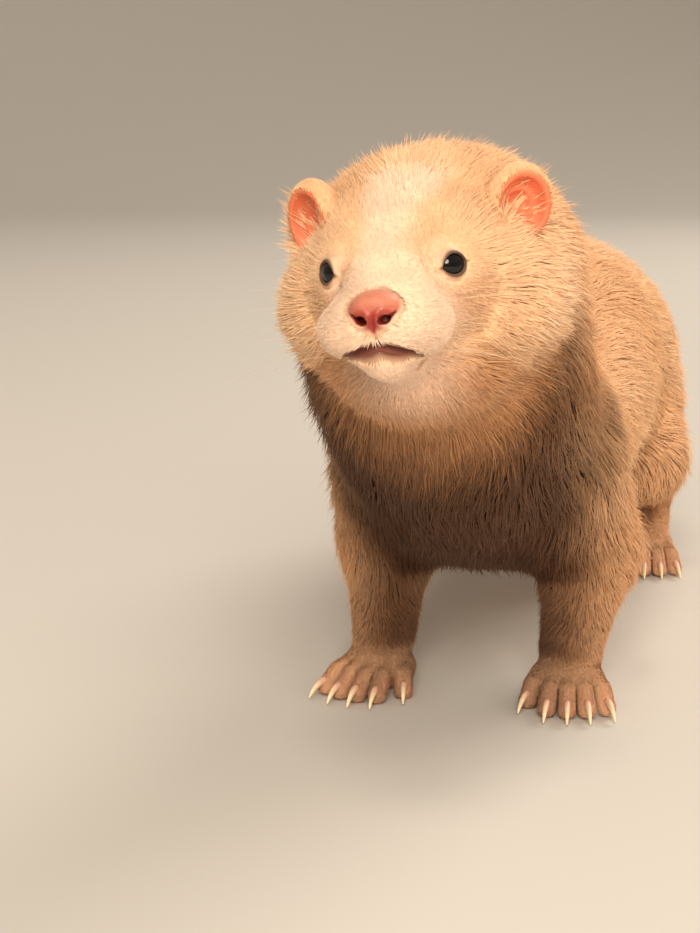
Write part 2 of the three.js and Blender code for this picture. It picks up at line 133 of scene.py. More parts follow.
def bone(a, b, ra, rb, wide=1.0):
    """A round cone, of radius ra at a and rb at b, stretched sideways by wide."""
    ax, ay, az = map(float, a)
    bx, by, bz = map(float, b)
    ux, uy, uz = (bx - ax) / wide, by - ay, bz - az
    squared = ux * ux + uy * uy + uz * uz
    ra, rb = float(ra), float(rb)

    def field(x, y, z):
        px, py, pz = (x - ax) / wide, y - ay, z - az
        share = np.clip((px * ux + py * uy + pz * uz) / squared, 0, 1)
        off = (px - share * ux) ** 2 + (py - share * uy) ** 2 + (pz - share * uz) ** 2
        return np.sqrt(off) - ra - share * (rb - ra)

    return field


def egg(centre, rx, ry, rz):
    cx, cy, cz = map(float, centre)

    def field(x, y, z):
        px, py, pz = (x - cx) / rx, (y - cy) / ry, (z - cz) / rz
        near = np.sqrt(px * px + py * py + pz * pz)
        steep = np.sqrt((px / rx) ** 2 + (py / ry) ** 2 + (pz / rz) ** 2)
        return near * (near - 1) / np.maximum(steep, 1e-6)

    return field


def reaching(field, low, high):
    """The same field, looked at only where y is from low to high."""

    def near_only(x, y, z):
        value = np.full(len(y), FAR, y.dtype)
        i, j = np.searchsorted(y, (low, high))
        if j > i:
            value[i:j] = field(x[i:j], y[i:j], z[i:j])
        return value

    return near_only


def joined(k, values):
    """The union of values, with fillets of about k where they meet."""
    best = None
    for d in values:
        if best is None:
            best = d
            continue
        near = np.maximum(k - np.abs(best - d), 0) / k
        best = np.minimum(best, d) - near * near * (k / 4)
    return best


def blend(k, fields):
    return lambda x, y, z: joined(k, (field(x, y, z) for field in fields))


def nearest(fields):
    return lambda x, y, z: np.minimum.reduce([field(x, y, z) for field in fields])


TOE_PARTING = 0.6  # how much wider the gaps between toes are than the solids' are
TOE_GAP = 1.1


def parted(fields):
    """The union of fields, with the narrow gaps between them made wider."""

    def field(x, y, z):
        first, second = np.partition([part(x, y, z) for part in fields], 1, axis=0)[:2]
        return first + TOE_PARTING * bell(second - first, TOE_GAP)

    return field


TUBE_STEPS = 5
TUBE_REACH = 16  # how far past its own radius a length of tube still counts


def tube(stations):
    """A tube through stations of (place, radius, width to height), smooth from one to the next."""
    count = (len(stations) - 1) * TUBE_STEPS
    shares = np.arange(count + 1) / count
    line = curve([place for place, _, _ in stations], shares)
    girth = curve([(r, wide) for _, r, wide in stations], shares)
    bones = []
    for i in range(count):
        a, b = line[i], line[i + 1]
        field = bone(a, b, girth[i][0], girth[i + 1][0], girth[i][1])
        room = max(girth[i][0], girth[i + 1][0]) + TUBE_REACH
        bones.append(reaching(field, min(a[1], b[1]) - room, max(a[1], b[1]) + room))
    return nearest(bones)


# The head's own frame has its origin midway between the eyes and the axes of the body.
ROLL_COS = math.cos(math.radians(HEAD_ROLL))
ROLL_SIN = math.sin(math.radians(HEAD_ROLL))


def rolled(x, y, z):
    return ROLL_COS * x - ROLL_SIN * z, y, ROLL_SIN * x + ROLL_COS * z


def out_of_head(x, y, z):
    x, y, z = rolled(x, y, z)
    return x, y - EYE_FORWARD, z + EYE_HEIGHT


def on_head(x, y, z):
    """A place given in the head's frame."""
    return at(*out_of_head(x, y, z))


def from_head(h):
    """Points given in the head's frame."""
    return np.stack(out_of_head(*h.T), 1)


def to_head(x, y, z):
    up = z - EYE_HEIGHT
    return ROLL_COS * x + ROLL_SIN * up, y + EYE_FORWARD, ROLL_COS * up - ROLL_SIN * x


def head_frame(points):
    """The points as the head's own frame has them."""
    return np.stack(to_head(*points.T), 1)


def in_head(field):
    return lambda x, y, z: field(*to_head(x, y, z))


# Fillets where parts of the flesh meet
TRUNK_FILLET = 12
LIMB_FILLET = 8
FACE_FILLET = 5
SHANK_FILLET = 5
WRIST_FILLET = 4
FOOT_FILLET = 1.6
NOSE_FILLET = 1.6


# Trunk, neck and tail

def section(y, low, high, width):
    r = (high - low) / 2
    return at(0, y, low + r), r, width / (2 * r)


trunk = tube([
    section(RUMP_Y, 52, 88, 42),
    section(RUMP_Y - 14, 40, 103, 62),
    section(RUMP_Y - 42, BELLY_HEIGHT + 5, BACK_HEIGHT - 3, TRUNK_WIDTH - 4),
    section(RUMP_Y - 84, BELLY_HEIGHT + 2, BACK_HEIGHT, TRUNK_WIDTH),
    section(RUMP_Y - 126, BELLY_HEIGHT - 1, BACK_HEIGHT - 7, TRUNK_WIDTH - 1),
    section(SHOULDER_Y + 44, BELLY_HEIGHT - 3, BACK_HEIGHT - 14, TRUNK_WIDTH - 5),
    section(SHOULDER_Y + 12, BELLY_HEIGHT + 1, BACK_HEIGHT - 14, TRUNK_WIDTH - 8),
    (at(0, SHOULDER_Y - 20, 80), 35.5, 1.08),
    (at(0, SHOULDER_Y - 44, 102), 34, 1.15),
    (on_head(0, 52, -3.4), 29.5, 1.22),
    (on_head(0, 40, -4), 19, 1.1),
])

TAIL_ROOT_Y = RUMP_Y - 2
TAIL = [(-0.12, 78, 16), (0.1, 73, 14.5), (0.35, 62, 14), (0.6, 49, 13.5), (0.82, 39, 10.5), (1, 34, 4.5)]
tail = tube([(at(0, TAIL_ROOT_Y + TAIL_LENGTH * share, z), r, 1) for share, z, r in TAIL])

# The face, in the head's frame
NOSE = at(0, 4.2 - MUZZLE_LENGTH, -7.8)
WEDGE = [
    (7 - MUZZLE_LENGTH, -9.4, 7.4, 8.4),
    (15 - MUZZLE_LENGTH, -8.6, 9, 10.6),
    (-5, -7, 11.8, 13),
    (1, -5.2, 14.8, 17.8),
    (8, -3.2, 18.4, 21.6),
    (18, -1.6, 22.4, 23.6),
    (30, -2, 25.8, 27.2),
    (42, -3, 27.8, 31),
]
wedge = tube([(at(0, y, z), high, wide / high) for y, z, high, wide in WEDGE])
whisker_pads = pair(lambda s: egg(at(s * 6.6, 11 - MUZZLE_LENGTH, -11.8), 8, 9, 6.6))
chin = bone(at(0, 4, -18), at(0, 11 - MUZZLE_LENGTH, -18.2), 9.5, 5)
cheeks = pair(lambda s: egg(at(s * (CHEEK_WIDTH / 2 - 16), 22, -10), 16, 20, 17))
throat = egg(at(0, 19, -22), 24, 23, 17)
skull = blend(FACE_FILLET, [wedge, *whisker_pads, chin, throat, *cheeks])
nose_pad = egg(NOSE, 5.5, 4.3, 4.5)


# Ears: a cup that opens forwards and outwards

EAR_TURN = 38  # degrees outwards from straight ahead
EAR_TILT = 14
CUP_WIDTH = EAR_RADIUS - 2.6
CUP_HEIGHT = EAR_RADIUS - 1.8
EAR_RIM_FILLET = 1.2
EAR_REACH = 14  # an ear's field counts this far from its middle


def ear_axes(side):
    """The ear's middle and its own axes as rows, in the head's frame."""
    turn = Matrix.Rotation(math.radians(side * EAR_TURN), 3, "Z")
    tilt = Matrix.Rotation(math.radians(side * EAR_TILT), 3, "Y")
    return at(side * EAR_SPACING / 2, 23, 11), np.array(turn @ tilt).T


def ear(side):
    shell = egg(at(0, 0, 0), EAR_RADIUS, 5, EAR_RADIUS + 1)
    hollow = egg(at(0, -4, -0.5), CUP_WIDTH, 5.4, CUP_HEIGHT)
    (cx, cy, cz), axes = ear_axes(side)

    def field(x, y, z):
        own = [a[0] * (x - cx) + a[1] * (y - cy) + a[2] * (z - cz) for a in axes.tolist()]
        return -joined(EAR_RIM_FILLET, [-shell(*own), hollow(*own)])

    return reaching(field, cy - EAR_REACH, cy + EAR_REACH)


ears = [in_head(field) for field in pair(ear)]


# Legs and paws

def forefoot_at(side):
    return at(side * STANCE_FORE / 2, SHOULDER_Y - 6, 0)


def hindfoot_at(side):
    return at(side * STANCE_HIND / 2, RUMP_Y - 44, 0)


def foreleg(side):
    elbow = at(side * 29.5, SHOULDER_Y + 17, 40)
    wrist = forefoot_at(side) + at(0, 8, 15)
    shoulder = egg(at(side * 20, SHOULDER_Y + 8, 68), 20, 26, 29)
    upper = bone(at(side * 24, SHOULDER_Y - 2, 61), elbow, 19, 15.5)
    return blend(LIMB_FILLET, [shoulder, upper]), bone(elbow, wrist, 14.5, 9.6)


def hindleg(side):
    knee = at(side * 31, RUMP_Y - 53, 42)
    hock = at(side * 29.5, RUMP_Y - 14, 23)
    haunch = egg(at(side * 18.5, RUMP_Y - 31, 67), 22.5, 33, 35)
    upper = bone(at(side * 22.5, RUMP_Y - 38, 56), knee, 23.5, 17)
    heel = hindfoot_at(side) + at(0, 6, 9)
    lower = blend(SHANK_FILLET, [bone(knee, hock, 15, 9.6), bone(hock, heel, 9.2, 8)])
    return blend(LIMB_FILLET, [haunch, upper]), lower


def paw(side, middle, outward, reach, spread):
    """A paw on the floor. Toes fan out from its middle, the first on the inner side."""
    heading = math.radians(side * outward)

    def place(x, forward, z):
        east, north = side * x, -forward
        return at(middle[0] + east * math.cos(heading) - north * math.sin(heading),
                  middle[1] + east * math.sin(heading) + north * math.cos(heading), z)

    toes = []
    for rank in range(-2, 3):
        inner = rank == -2
        length = reach * (0.62 if inner else 1) * (1 - 0.055 * rank * rank)
        bend = rank * spread
        start = place(rank * 3.6, -2 if inner else 1, 6.6)
        knuckle = place(rank * 4 + bend * 0.6, length * 0.6, 6)
        tip = place(rank * 4.2 + bend, length, TOE_RADIUS - 0.35)
        toes.append((start, knuckle, tip))
    flesh = [
        nearest([bone(start, knuckle, TOE_RADIUS + 0.5, TOE_RADIUS + 0.1),
                 bone(knuckle, tip, TOE_RADIUS + 0.1, TOE_RADIUS)])
        for start, knuckle, tip in toes
    ]
    palm = egg(place(0, -1, 6.2), 10.4, 9, 7)
    return toes, blend(FOOT_FILLET, [palm, parted(flesh)])


PAW_REACH = 34  # a foot's fields count this far from its middle
LEG_REACH = 70


def limb(kind, name):
    side = SIDES[name]
    fore = kind == "fore"
    middle = (forefoot_at if fore else hindfoot_at)(side)
    upper, lower = (foreleg if fore else hindleg)(side)
    toes, flesh = paw(side, middle, 8, 15.5, 1.1) if fore else paw(side, middle, 6, 16.5, 1)
    y = middle[1]
    return {
        "name": f"{kind}_{name}",
        "side": side,
        "middle": middle,
        "toes": toes,
        "upper": reaching(upper, y - LEG_REACH, y + LEG_REACH),
        "foot": reaching(blend(WRIST_FILLET, [lower, reaching(flesh, y - PAW_REACH, y + PAW_REACH)]),
                         y - LEG_REACH, y + LEG_REACH),
    }


limbs = [limb(kind, name) for kind in ("fore", "hind") for name in SIDES]
torso = blend(TRUNK_FILLET, [trunk, *(part["upper"] for part in limbs), tail])
feet = [part["foot"] for part in limbs]
HEAD_END = 62  # the skull's fields count this far behind the eyes
skull_only = reaching(in_head(skull), -FAR, HEAD_END - EYE_FORWARD)
nose_only = reaching(in_head(nose_pad), -FAR, -EYE_FORWARD)
flesh_without_nose = blend(LIMB_FILLET, [blend(TRUNK_FILLET, [torso, skull_only]), *feet])


def outline(x, y, z):
    """The solids' own outline: where the tips of the coat lie."""
    return joined(NOSE_FILLET, [flesh_without_nose(x, y, z), nose_only(x, y, z)])


# How deep the skin lies under the outline

COAT_BY_HEIGHT = [(0, 0.5), (7, 0.7), (13, 1.3), (20, 2.4), (34, 4), (48, 5.6), (70, 7)]
TAIL_COAT = 0.56  # share of the tail's radius that is coat
EYES = {side: at(side * EYE_SPACING / 2, -EYE_AHEAD, 0) for side in SIDES.values()}


def by_steps(value, steps):
    return np.interp(value, [a for a, _ in steps], [b for _, b in steps])


def from_eyes(hx, hy, hz):
    x, y, z = EYES[1]
    return np.sqrt((np.abs(hx) - x) ** 2 + (hy - y) ** 2 + (hz - z) ** 2)


def head_coat(hx, hy, hz):
    deep = 0.8 + 2.8 * smooth(-16, 18, hy) + 2.3 * smooth(0, 16, hy) * smooth(6, -12, hz)
    return np.minimum(deep, 0.9 + 0.3 * np.maximum(from_eyes(hx, hy, hz) - 4.5, 0))


def coat_depth(x, y, z):
    body = by_steps(z, COAT_BY_HEIGHT)
    tail_steps = [(TAIL_ROOT_Y + TAIL_LENGTH * share, TAIL_COAT * r) for share, _, r in TAIL]
    along_tail = by_steps(y, tail_steps)
    body = mix(body, along_tail, smooth(RUMP_Y - 4, RUMP_Y + 12, y))
    hx, hy, hz = to_head(x, y, z)
    return mix(head_coat(hx, hy, hz), body, smooth(26, 52, hy))


EAR_COAT = 0.2
NOSE_COAT = 0.1
LID_THICKNESS = 0.5
BARE_NOSE_FILLET = 1.4
LID_FILLET = 1.8
EAR_FILLET = 2.5


def lids(x, y, z):
    """The two mounds of lid over the eyes, in the head's frame."""
    return from_eyes(x, y, z) - EYE_RADIUS - LID_THICKNESS


lids_only = reaching(in_head(lids), -FAR, 10 - EYE_FORWARD)


def skin(x, y, z):
    flesh = flesh_without_nose(x, y, z) + coat_depth(x, y, z)
    nosed = joined(BARE_NOSE_FILLET, [flesh, nose_only(x, y, z) + NOSE_COAT])
    faced = joined(LID_FILLET, [nosed, lids_only(x, y, z)])
    return joined(EAR_FILLET, [faced, *(field(x, y, z) + EAR_COAT for field in ears)])


def measure(field, points):
    """The field's value at each of the points, which may be in any order."""
    order = np.argsort(points[:, 1], kind="stable")
    sorted_points = points[order]
    value = np.empty(len(points))
    value[order] = field(*(np.ascontiguousarray(sorted_points[:, i]) for i in range(3)))
    return value


SLOPE_STEP = 0.05


def slope(field, points):
    """The field's value and gradient at the points."""
    value = measure(field, points)
    ahead = [measure(field, points + SLOPE_STEP * np.eye(3)[i]) for i in range(3)]
    return value, (np.stack(ahead, 1) - value[:, None]) / SLOPE_STEP


# Meshing: surface nets over a grid, looked at only near the surface

def untangle(value, turns=6):
    """Where two opposite corners of a grid square are inside and two outside, the one nearest the
    surface changes sides, so that no edge of the net has four faces."""
    for _ in range(turns):
        found = 0
        for u, v in ((0, 1), (1, 2), (2, 0)):
            ends = [slice(None)] * 3
            corners = []
            for move_u in (0, 1):
                for move_v in (0, 1):
                    ends[u] = slice(move_u, value.shape[u] - 1 + move_u)
                    ends[v] = slice(move_v, value.shape[v] - 1 + move_v)
                    corners.append(tuple(ends))
            sides = [value[corner] < 0 for corner in corners]
            crossed = (sides[0] == sides[3]) & (sides[1] == sides[2]) & (sides[0] != sides[1])
            spots = np.argwhere(crossed)
            found += len(spots)
            for spot in spots:
                square = [spot + [corner[i].start or 0 for i in range(3)] for corner in corners]
                weakest = min(square, key=lambda s: abs(value[tuple(s)]))
                value[tuple(weakest)] *= -0.1
        if not found:
            break


def grid_part(array, corner, counts):
    """As many steps of the grid as counts says, from this corner on."""
    i, j, k = corner
    return array[i:i + counts[0], j:j + counts[1], k:k + counts[2]]


CORNERS = [(i, j, k) for i in (0, 1) for j in (0, 1) for k in (0, 1)]  # of a cell of the grid


def fine_grid(field, low, high, cell, coarse=4, reach=1.5):
    """The field's value at steps of cell. It is measured on a coarse grid first, and on the fine one
    only in blocks within reach of the surface."""
    block = cell * coarse
    counts = np.ceil((high - low) / block).astype(int) + 1
    grids = [low[i] + block * np.arange(counts[i] + 1) for i in range(3)]
    nodes = np.stack(np.meshgrid(*grids, indexing="ij"), -1).reshape(-1, 3)
    rough = measure(field, nodes).reshape(counts + 1)
    close = np.abs(rough) < reach * block
    value = grid_part(rough, CORNERS[0], counts).astype(np.float32)
    fine = np.logical_or.reduce([grid_part(close, corner, counts) for corner in CORNERS])
    for axis in range(3):
        value, fine = np.repeat(value, coarse, axis), np.repeat(fine, coarse, axis)
    value[fine] = measure(field, (low + cell * np.argwhere(fine)).astype(np.float32))
    untangle(value)
    return value


def net_points(value):
    """The cells that the surface runs through, and the net's place in each, in steps of the grid."""
    size = np.array(value.shape) - 1
    filled = sum(grid_part(value < 0, corner, size).astype(np.uint8) for corner in CORNERS)
    cells = np.argwhere((filled > 0) & (filled < 8))
    total = np.zeros((len(cells), 3))
    crossings = np.zeros(len(cells))
    for a in CORNERS:
        for axis in range(3):
            if a[axis]:
                continue
            b = tuple(1 if i == axis else a[i] for i in range(3))
            fa = value[tuple((cells + a).T)].astype(float)
            fb = value[tuple((cells + b).T)].astype(float)
            crossed = (fa < 0) != (fb < 0)
            share = np.where(crossed, fa / np.where(crossed, fa - fb, 1), 0)
            spot = np.array(a) + share[:, None] * (np.array(b) - a)
            total += spot * crossed[:, None]
            crossings += crossed
    return cells, cells + total / crossings[:, None]


def net_of(field, low, high, cell):
    """Points and four-sided faces of the field's surface."""
    value = fine_grid(field, low, high, cell)
    cells, spots = net_points(value)
    vertex = np.full(value.shape, -1, np.int32)
    vertex[tuple(cells.T)] = np.arange(len(cells))
    inside = value < 0
    steps = np.eye(3, dtype=int)
    faces = []
    for axis in range(3):
        step, u, v = np.roll(steps, -axis, 0)
        here = grid_part(inside, (0, 0, 0), value.shape - step)
        there = grid_part(inside, step, value.shape - step)
        starts = np.argwhere(here != there)
        quads = np.stack([vertex[tuple((starts + move).T)] for move in (-u - v, -v, 0 * u, -u)], 1)
        turned = ~inside[tuple(starts.T)]
        quads[turned] = quads[turned][:, ::-1]
        faces.append(quads)
    return low + cell * spots, np.vstack(faces)


def in_triangles(quads):
    return np.vstack([quads[:, [0, 1, 2]], quads[:, [0, 2, 3]]])


def edges_of(triangles):
    """Each edge once, and for each triangle the numbers of its three edges."""
    ends = np.sort(np.stack([triangles, np.roll(triangles, -1, 1)], 2).reshape(-1, 2), 1)
    key = ends[:, 0].astype(np.int64) * (1 << 32) + ends[:, 1]
    _, first, number = np.unique(key, return_index=True, return_inverse=True)
    return ends[first], number.reshape(-1, 3)


def relax(points, triangles, field, turns, share=0.5):
    """Evens the mesh out along the surface, and draws it back on to the field after each turn."""
    ends, _ = edges_of(triangles)
    a, b = np.concatenate([ends[:, 0], ends[:, 1]]), np.concatenate([ends[:, 1], ends[:, 0]])
    count = np.maximum(np.bincount(a, minlength=len(points)), 1)
    for _ in range(turns):
        middle = np.stack([np.bincount(a, points[b, i], len(points)) for i in range(3)], 1)
        points = mix(points, middle / count[:, None], share)
        points = settle(points, field)
    return points


LEAST_SLOPE = 0.5


def settle(points, field, most=0.6):
    """Moves points on to the field's surface, by no more than most."""
    value, gradient = slope(field, points)
    squared = np.maximum((gradient ** 2).sum(1), LEAST_SLOPE ** 2)
    move = -gradient * (value / squared)[:, None]
    length = np.linalg.norm(move, axis=1)
    return points + move * np.minimum(1, most / np.maximum(length, 1e-9))[:, None]


def split_long_edges(points, triangles, target):
    """Halves each edge that is longer than target allows there, and parts the triangles to fit."""
    ends, number = edges_of(triangles)
    a, b = points[ends[:, 0]], points[ends[:, 1]]
    middle = (a + b) / 2
    long = np.linalg.norm(a - b, axis=1) > target(middle)
    new = np.full(len(ends), -1)
    new[long] = len(points) + np.arange(long.sum())
    points = np.vstack([points, middle[long]])
    cut = new[number]
    marks = (cut >= 0).sum(1)
    parts = [triangles[marks == 0]]
    for i in range(3):
        corners, cuts = np.roll(triangles, -i, 1), np.roll(cut, -i, 1)
        # One edge cut: the one after corner i
        one = (marks == 1) & (cuts[:, 0] >= 0)
        (p, q, r), m = corners[one].T, cuts[one, 0]
        parts += [np.stack([p, m, r], 1), np.stack([m, q, r], 1)]
        # Two edges cut: all but the one after corner i
        two = (marks == 2) & (cuts[:, 0] < 0)
        (p, q, r), (_, m, n) = corners[two].T, cuts[two].T
        parts += [np.stack([m, r, n], 1), np.stack([p, q, m], 1), np.stack([p, m, n], 1)]
    t, m = triangles[marks == 3], cut[marks == 3]
    for i in range(3):
        parts.append(np.stack([t[:, i], m[:, i], m[:, (i + 2) % 3]], 1))
    parts.append(m)
    return points, np.vstack(parts)


def normals_of(points, triangles):
    a, b, c = (points[triangles[:, i]] for i in range(3))
    face = np.cross(b - a, c - a)
    total = np.zeros_like(points)
    for i in range(3):
        for axis in range(3):
            total[:, axis] += np.bincount(triangles[:, i], face[:, axis], len(points))
    return unit(total)


# The face's folds, in the head's frame. Each is a shift of the skin's finest points.

GAZE_OUT = 45  # degrees from straight ahead
GAZE_UP = 4
LID_SLANT = 9  # the outer corner lies higher
LID_HALF_WIDTH = 3.1
LID_ROUNDNESS = 0.75
UPPER_LID = 2.5  # from the middle of the opening
LOWER_LID = 2.1
SOCKET_FLOOR = 1.9  # behind the front of the eyeball
MOUTH_AXIS = -10  # the depth of the upright line that the mouth curves round
MOUTH = [(0, -14), (14, -15.4), (34, -16.6), (56, -17.6), (80, -19)]  # degrees from the front, height
MOUTH_NEAR, MOUTH_FAR = 3.0, 24.0  # the line lies this far from the axis
LOWER_LIP = 1.7  # how much broader the lower lip is in the middle


def gaze_axes(side):
    """The eye's own axes: outwards, along the lids away from the nose, and up."""
    out = direction(side * GAZE_OUT, GAZE_UP)
    a, slant = math.radians(GAZE_OUT), math.radians(LID_SLANT)
    level = at(side * math.cos(a), math.sin(a), 0)
    rise = unit(at(0, 0, 1) - out * out[2])
    along = unit(level * math.cos(slant) + rise * math.sin(slant))
    return out, along, unit(rise - along * (rise @ along))


def lid_opening(side, h):
    """How far each point lies inside the lids' edge, and how far in front of the eye's middle."""
    out, along, up = gaze_axes(side)
    rel = h - EYES[side]
    w, u, v = rel @ out, rel @ along, rel @ up
    height = np.where(v > 0, UPPER_LID, LOWER_LID)
    limit = height * np.clip(1 - (u / LID_HALF_WIDTH) ** 2, 0, 1) ** LID_ROUNDNESS
    beside = np.maximum(np.abs(u) - LID_HALF_WIDTH, 0)
    near = (np.linalg.norm(rel, axis=1) < EYE_RADIUS + 3) & (w > 0)
    return np.where(near, limit - np.abs(v) - beside, -9), w


def carve_lids(h):
    for side in SIDES.values():
        inside, w = lid_opening(side, h)
        out = gaze_axes(side)[0]
        sunk = smooth(-0.05, 0.45, inside) * np.maximum(w - SOCKET_FLOOR, 0)
        rim = 0.16 * bell(inside + 0.4, 0.35)
        crease = 0.22 * bell(inside + 1.7, 0.4)
        h = h + out * (rim - sunk - crease)[:, None]
    return h


NOSTRIL = (2.5, -8.9)  # out from the middle, and height
NOSTRIL_SIZE = (1.45, 1.0)
NOSTRIL_DEPTH = 2.4
NOSTRIL_SLANT = 20
SLIT_DEPTH = 0.7
PHILTRUM_DEPTH = 0.45


def nostril_share(h):
    """1 in the nostrils, 0 outside."""
    out, rise = np.abs(h[:, 0]) - NOSTRIL[0], h[:, 2] - NOSTRIL[1]
    a = math.radians(NOSTRIL_SLANT)
    u, v = out * math.cos(a) + rise * math.sin(a), rise * math.cos(a) - out * math.sin(a)
    round_part = smooth(1.1, 0.55, np.hypot(u / NOSTRIL_SIZE[0], v / NOSTRIL_SIZE[1]))
    slit = smooth(0.5, 0.1, np.abs(v - 0.3 * (u - 0.8))) * smooth(0.2, 1, u) * smooth(3.4, 2.4, u)
    front = smooth(NOSE[1] + 0.5, NOSE[1] - 1.2, h[:, 1])
    return round_part * front, slit * front


def philtrum_share(h):
    return bell(h[:, 0], 0.42) * smooth(-8, -9.6, h[:, 2]) * smooth(-14.2, -13, h[:, 2]) * (h[:, 1] < -16)


def carve_nose(h):
    hole, slit = nostril_share(h)
    rims = np.hypot((np.abs(h[:, 0]) - 3) / 1.9, (h[:, 2] + 8.2) / 1.9)
    wing = 0.35 * np.exp(-(rims - 1) ** 2 / 0.12) * (h[:, 1] < NOSE[1] + 1.5)
    h = h.copy()
    h[:, 1] += NOSTRIL_DEPTH * hole + SLIT_DEPTH * slit + PHILTRUM_DEPTH * philtrum_share(h) - wing
    return h


def mouth_line():
    """The closed mouth's line on the skin, from corner to corner, in the head's frame."""
    half = curve(MOUTH, np.arange(13) / 12)
    line = np.vstack([half[:0:-1] * (-1, 1), half])
    turn = np.radians(line[:, 0])
    start = np.stack([0 * turn, 0 * turn + MOUTH_AXIS, line[:, 1]], 1)
    way = np.stack([np.sin(turn), -np.cos(turn), 0 * turn], 1)
    near, far = np.full(len(line), MOUTH_NEAR), np.full(len(line), MOUTH_FAR)
    for _ in range(20):
        middle = (near + far) / 2
        inside = measure(skin, from_head(start + way * middle[:, None])) < 0
        near, far = np.where(inside, middle, near), np.where(inside, far, middle)
    return start + way * near[:, None]


def from_line(line, h, reach=5):
    """The distance from each point to a line of points, where it is less than reach."""
    best = np.full(len(h), float(reach))
    low, high = line.min(0) - reach, line.max(0) + reach
    near = np.nonzero(((h > low) & (h < high)).all(1))[0]
    for a, b in zip(line[:-1], line[1:]):
        rel, along = h[near] - a, b - a
        share = np.clip(rel @ along / (along @ along), 0, 1)
        off = np.linalg.norm(rel - share[:, None] * along, axis=1)
        best[near] = np.minimum(best[near], off)
    return best


def mouth_middle(h):
    """1 in the middle of the mouth, 0 towards its corners."""
    return smooth(11, 3, np.abs(h[:, 0]))


def mouth_width(h):
    return mix(0.4, 0.75, mouth_middle(h))


def lip_gap(line, h):
    """The distance to the lips: the lower one is broad below the middle of the line."""
    lower = smooth(7.5, 2.5, np.abs(h[:, 0])) * smooth(-14.4, -15.2, h[:, 2])
    return np.maximum(from_line(line, h) - LOWER_LIP * lower, 0)


def carve_mouth(h, normals, line):
    d = from_line(line, h)
    groove = mix(0.7, 1.5, mouth_middle(h)) * bell(d, mouth_width(h))
    lips = 0.3 * bell(d - 1.3, 0.5)
    return h + normals * (lips - groove)[:, None]


def ear_own(side, h):
    centre, axes = ear_axes(side)
    return (h - centre) @ axes.T


def carve_ears(h):
    """Folds in the cup: a ridge that follows the rim and a smaller one across its lower half."""
    for side in SIDES.values():
        _, axes = ear_axes(side)
        own = ear_own(side, h)
        x, z = own[:, 0] * side, own[:, 2]
        round_about = np.hypot(x / CUP_WIDTH, (z + 0.5) / CUP_HEIGHT)
        cup = (np.linalg.norm(own, axis=1) < EAR_RADIUS + 2) & (own[:, 1] > -3.5)
        inner = cup * smooth(1, 0.85, round_about) * (own[:, 1] < 2.6)
        ridge = 0.8 * bell(round_about - 0.58, 0.1) * smooth(-3.5, 0, z + x)
        shelf = 0.7 * bell(z + 2.2 - 0.25 * x, 0.8) * smooth(4.5, 2.5, np.abs(x))
        h = h - axes[1] * (inner * (ridge + shelf))[:, None]
    return h


# The skin's mesh

SKIN_CELL = 1.0
BODY_SHARE = 0.32  # of the triangles are left when the body's are thinned
FINE_EDGE = 0.36
FACE_EDGE = 0.6
EAR_EDGE = 0.75
PAW_EDGE = 0.95


def edge_target(line):
    """How long an edge of the skin may be, by its place."""

    def target(points):
        h = head_frame(points)
        longest = np.full(len(points), FAR)
        longest[points[:, 2] < 11] = PAW_EDGE
        for side in SIDES.values():
            longest[np.linalg.norm(ear_own(side, h), axis=1) < EAR_RADIUS + 3] = EAR_EDGE
        longest[(h[:, 1] < -6) & (h[:, 2] < 2)] = FACE_EDGE
        fine = (from_eyes(*h.T) < EYE_RADIUS + 1.5) | (from_line(line, h) < 2)
        fine |= (np.abs(np.abs(h[:, 0]) - 2.4) < 3) & (np.abs(h[:, 2] + 9) < 2.6) & (h[:, 1] < NOSE[1])
        longest[fine] = FINE_EDGE
        return longest

    return target


def mesh_from(name, points, faces, rounded=True):
    """A mesh of triangles or of four-sided faces, from arrays, in the script's millimetres."""
    mesh = bpy.data.meshes.new(name)
    sides = faces.shape[1]
    mesh.vertices.add(len(points))
    mesh.vertices.foreach_set("co", np.ascontiguousarray(points, np.float32).ravel())
    mesh.loops.add(faces.size)
    mesh.loops.foreach_set("vertex_index", faces.astype(np.int32).ravel())
    mesh.polygons.add(len(faces))
    mesh.polygons.foreach_set("loop_start", np.arange(0, faces.size, sides, dtype=np.int32))
    mesh.polygons.foreach_set("use_smooth", np.full(len(faces), rounded))
    mesh.update(calc_edges=True)
    return mesh


def new_object(name, data):
    made = bpy.data.objects.new(name, data)
    bpy.context.scene.collection.objects.link(made)
    return made


def thinned(points, triangles, share, kept):
    """The mesh with fewer triangles, all of them gone from where kept isn't true."""
    work = new_object("thinning", mesh_from("thinning", points, triangles))
    group = work.vertex_groups.new(name="kept")
    group.add(np.nonzero(kept)[0].tolist(), 1.0, "REPLACE")
    modifier = work.modifiers.new("thin", "DECIMATE")
    modifier.ratio = share
    modifier.vertex_group = "kept"
    modifier.invert_vertex_group = True
    made = bpy.data.meshes.new_from_object(work.evaluated_get(bpy.context.evaluated_depsgraph_get()))
    made.calc_loop_triangles()
    points = np.empty(len(made.vertices) * 3)
    made.vertices.foreach_get("co", points)
    triangles = np.empty(len(made.loop_triangles) * 3, np.int32)
    made.loop_triangles.foreach_get("vertices", triangles)
    old = work.data
    bpy.data.objects.remove(work)
    bpy.data.meshes.remove(old)
    bpy.data.meshes.remove(made)
    return points.reshape(-1, 3), triangles.reshape(-1, 3)


FLOOR_GAP = 0.1  # skin and coat end this far above the floor
FINE_BACK, FINE_LOW = 34, -24  # in the head's frame, how far the mesh keeps all its triangles
FINE_HEIGHT = 13  # so does the mesh below this height
SKIN_LOW = at(-52, -226, -1.5)
SKIN_HIGH = at(52, 248, 168)


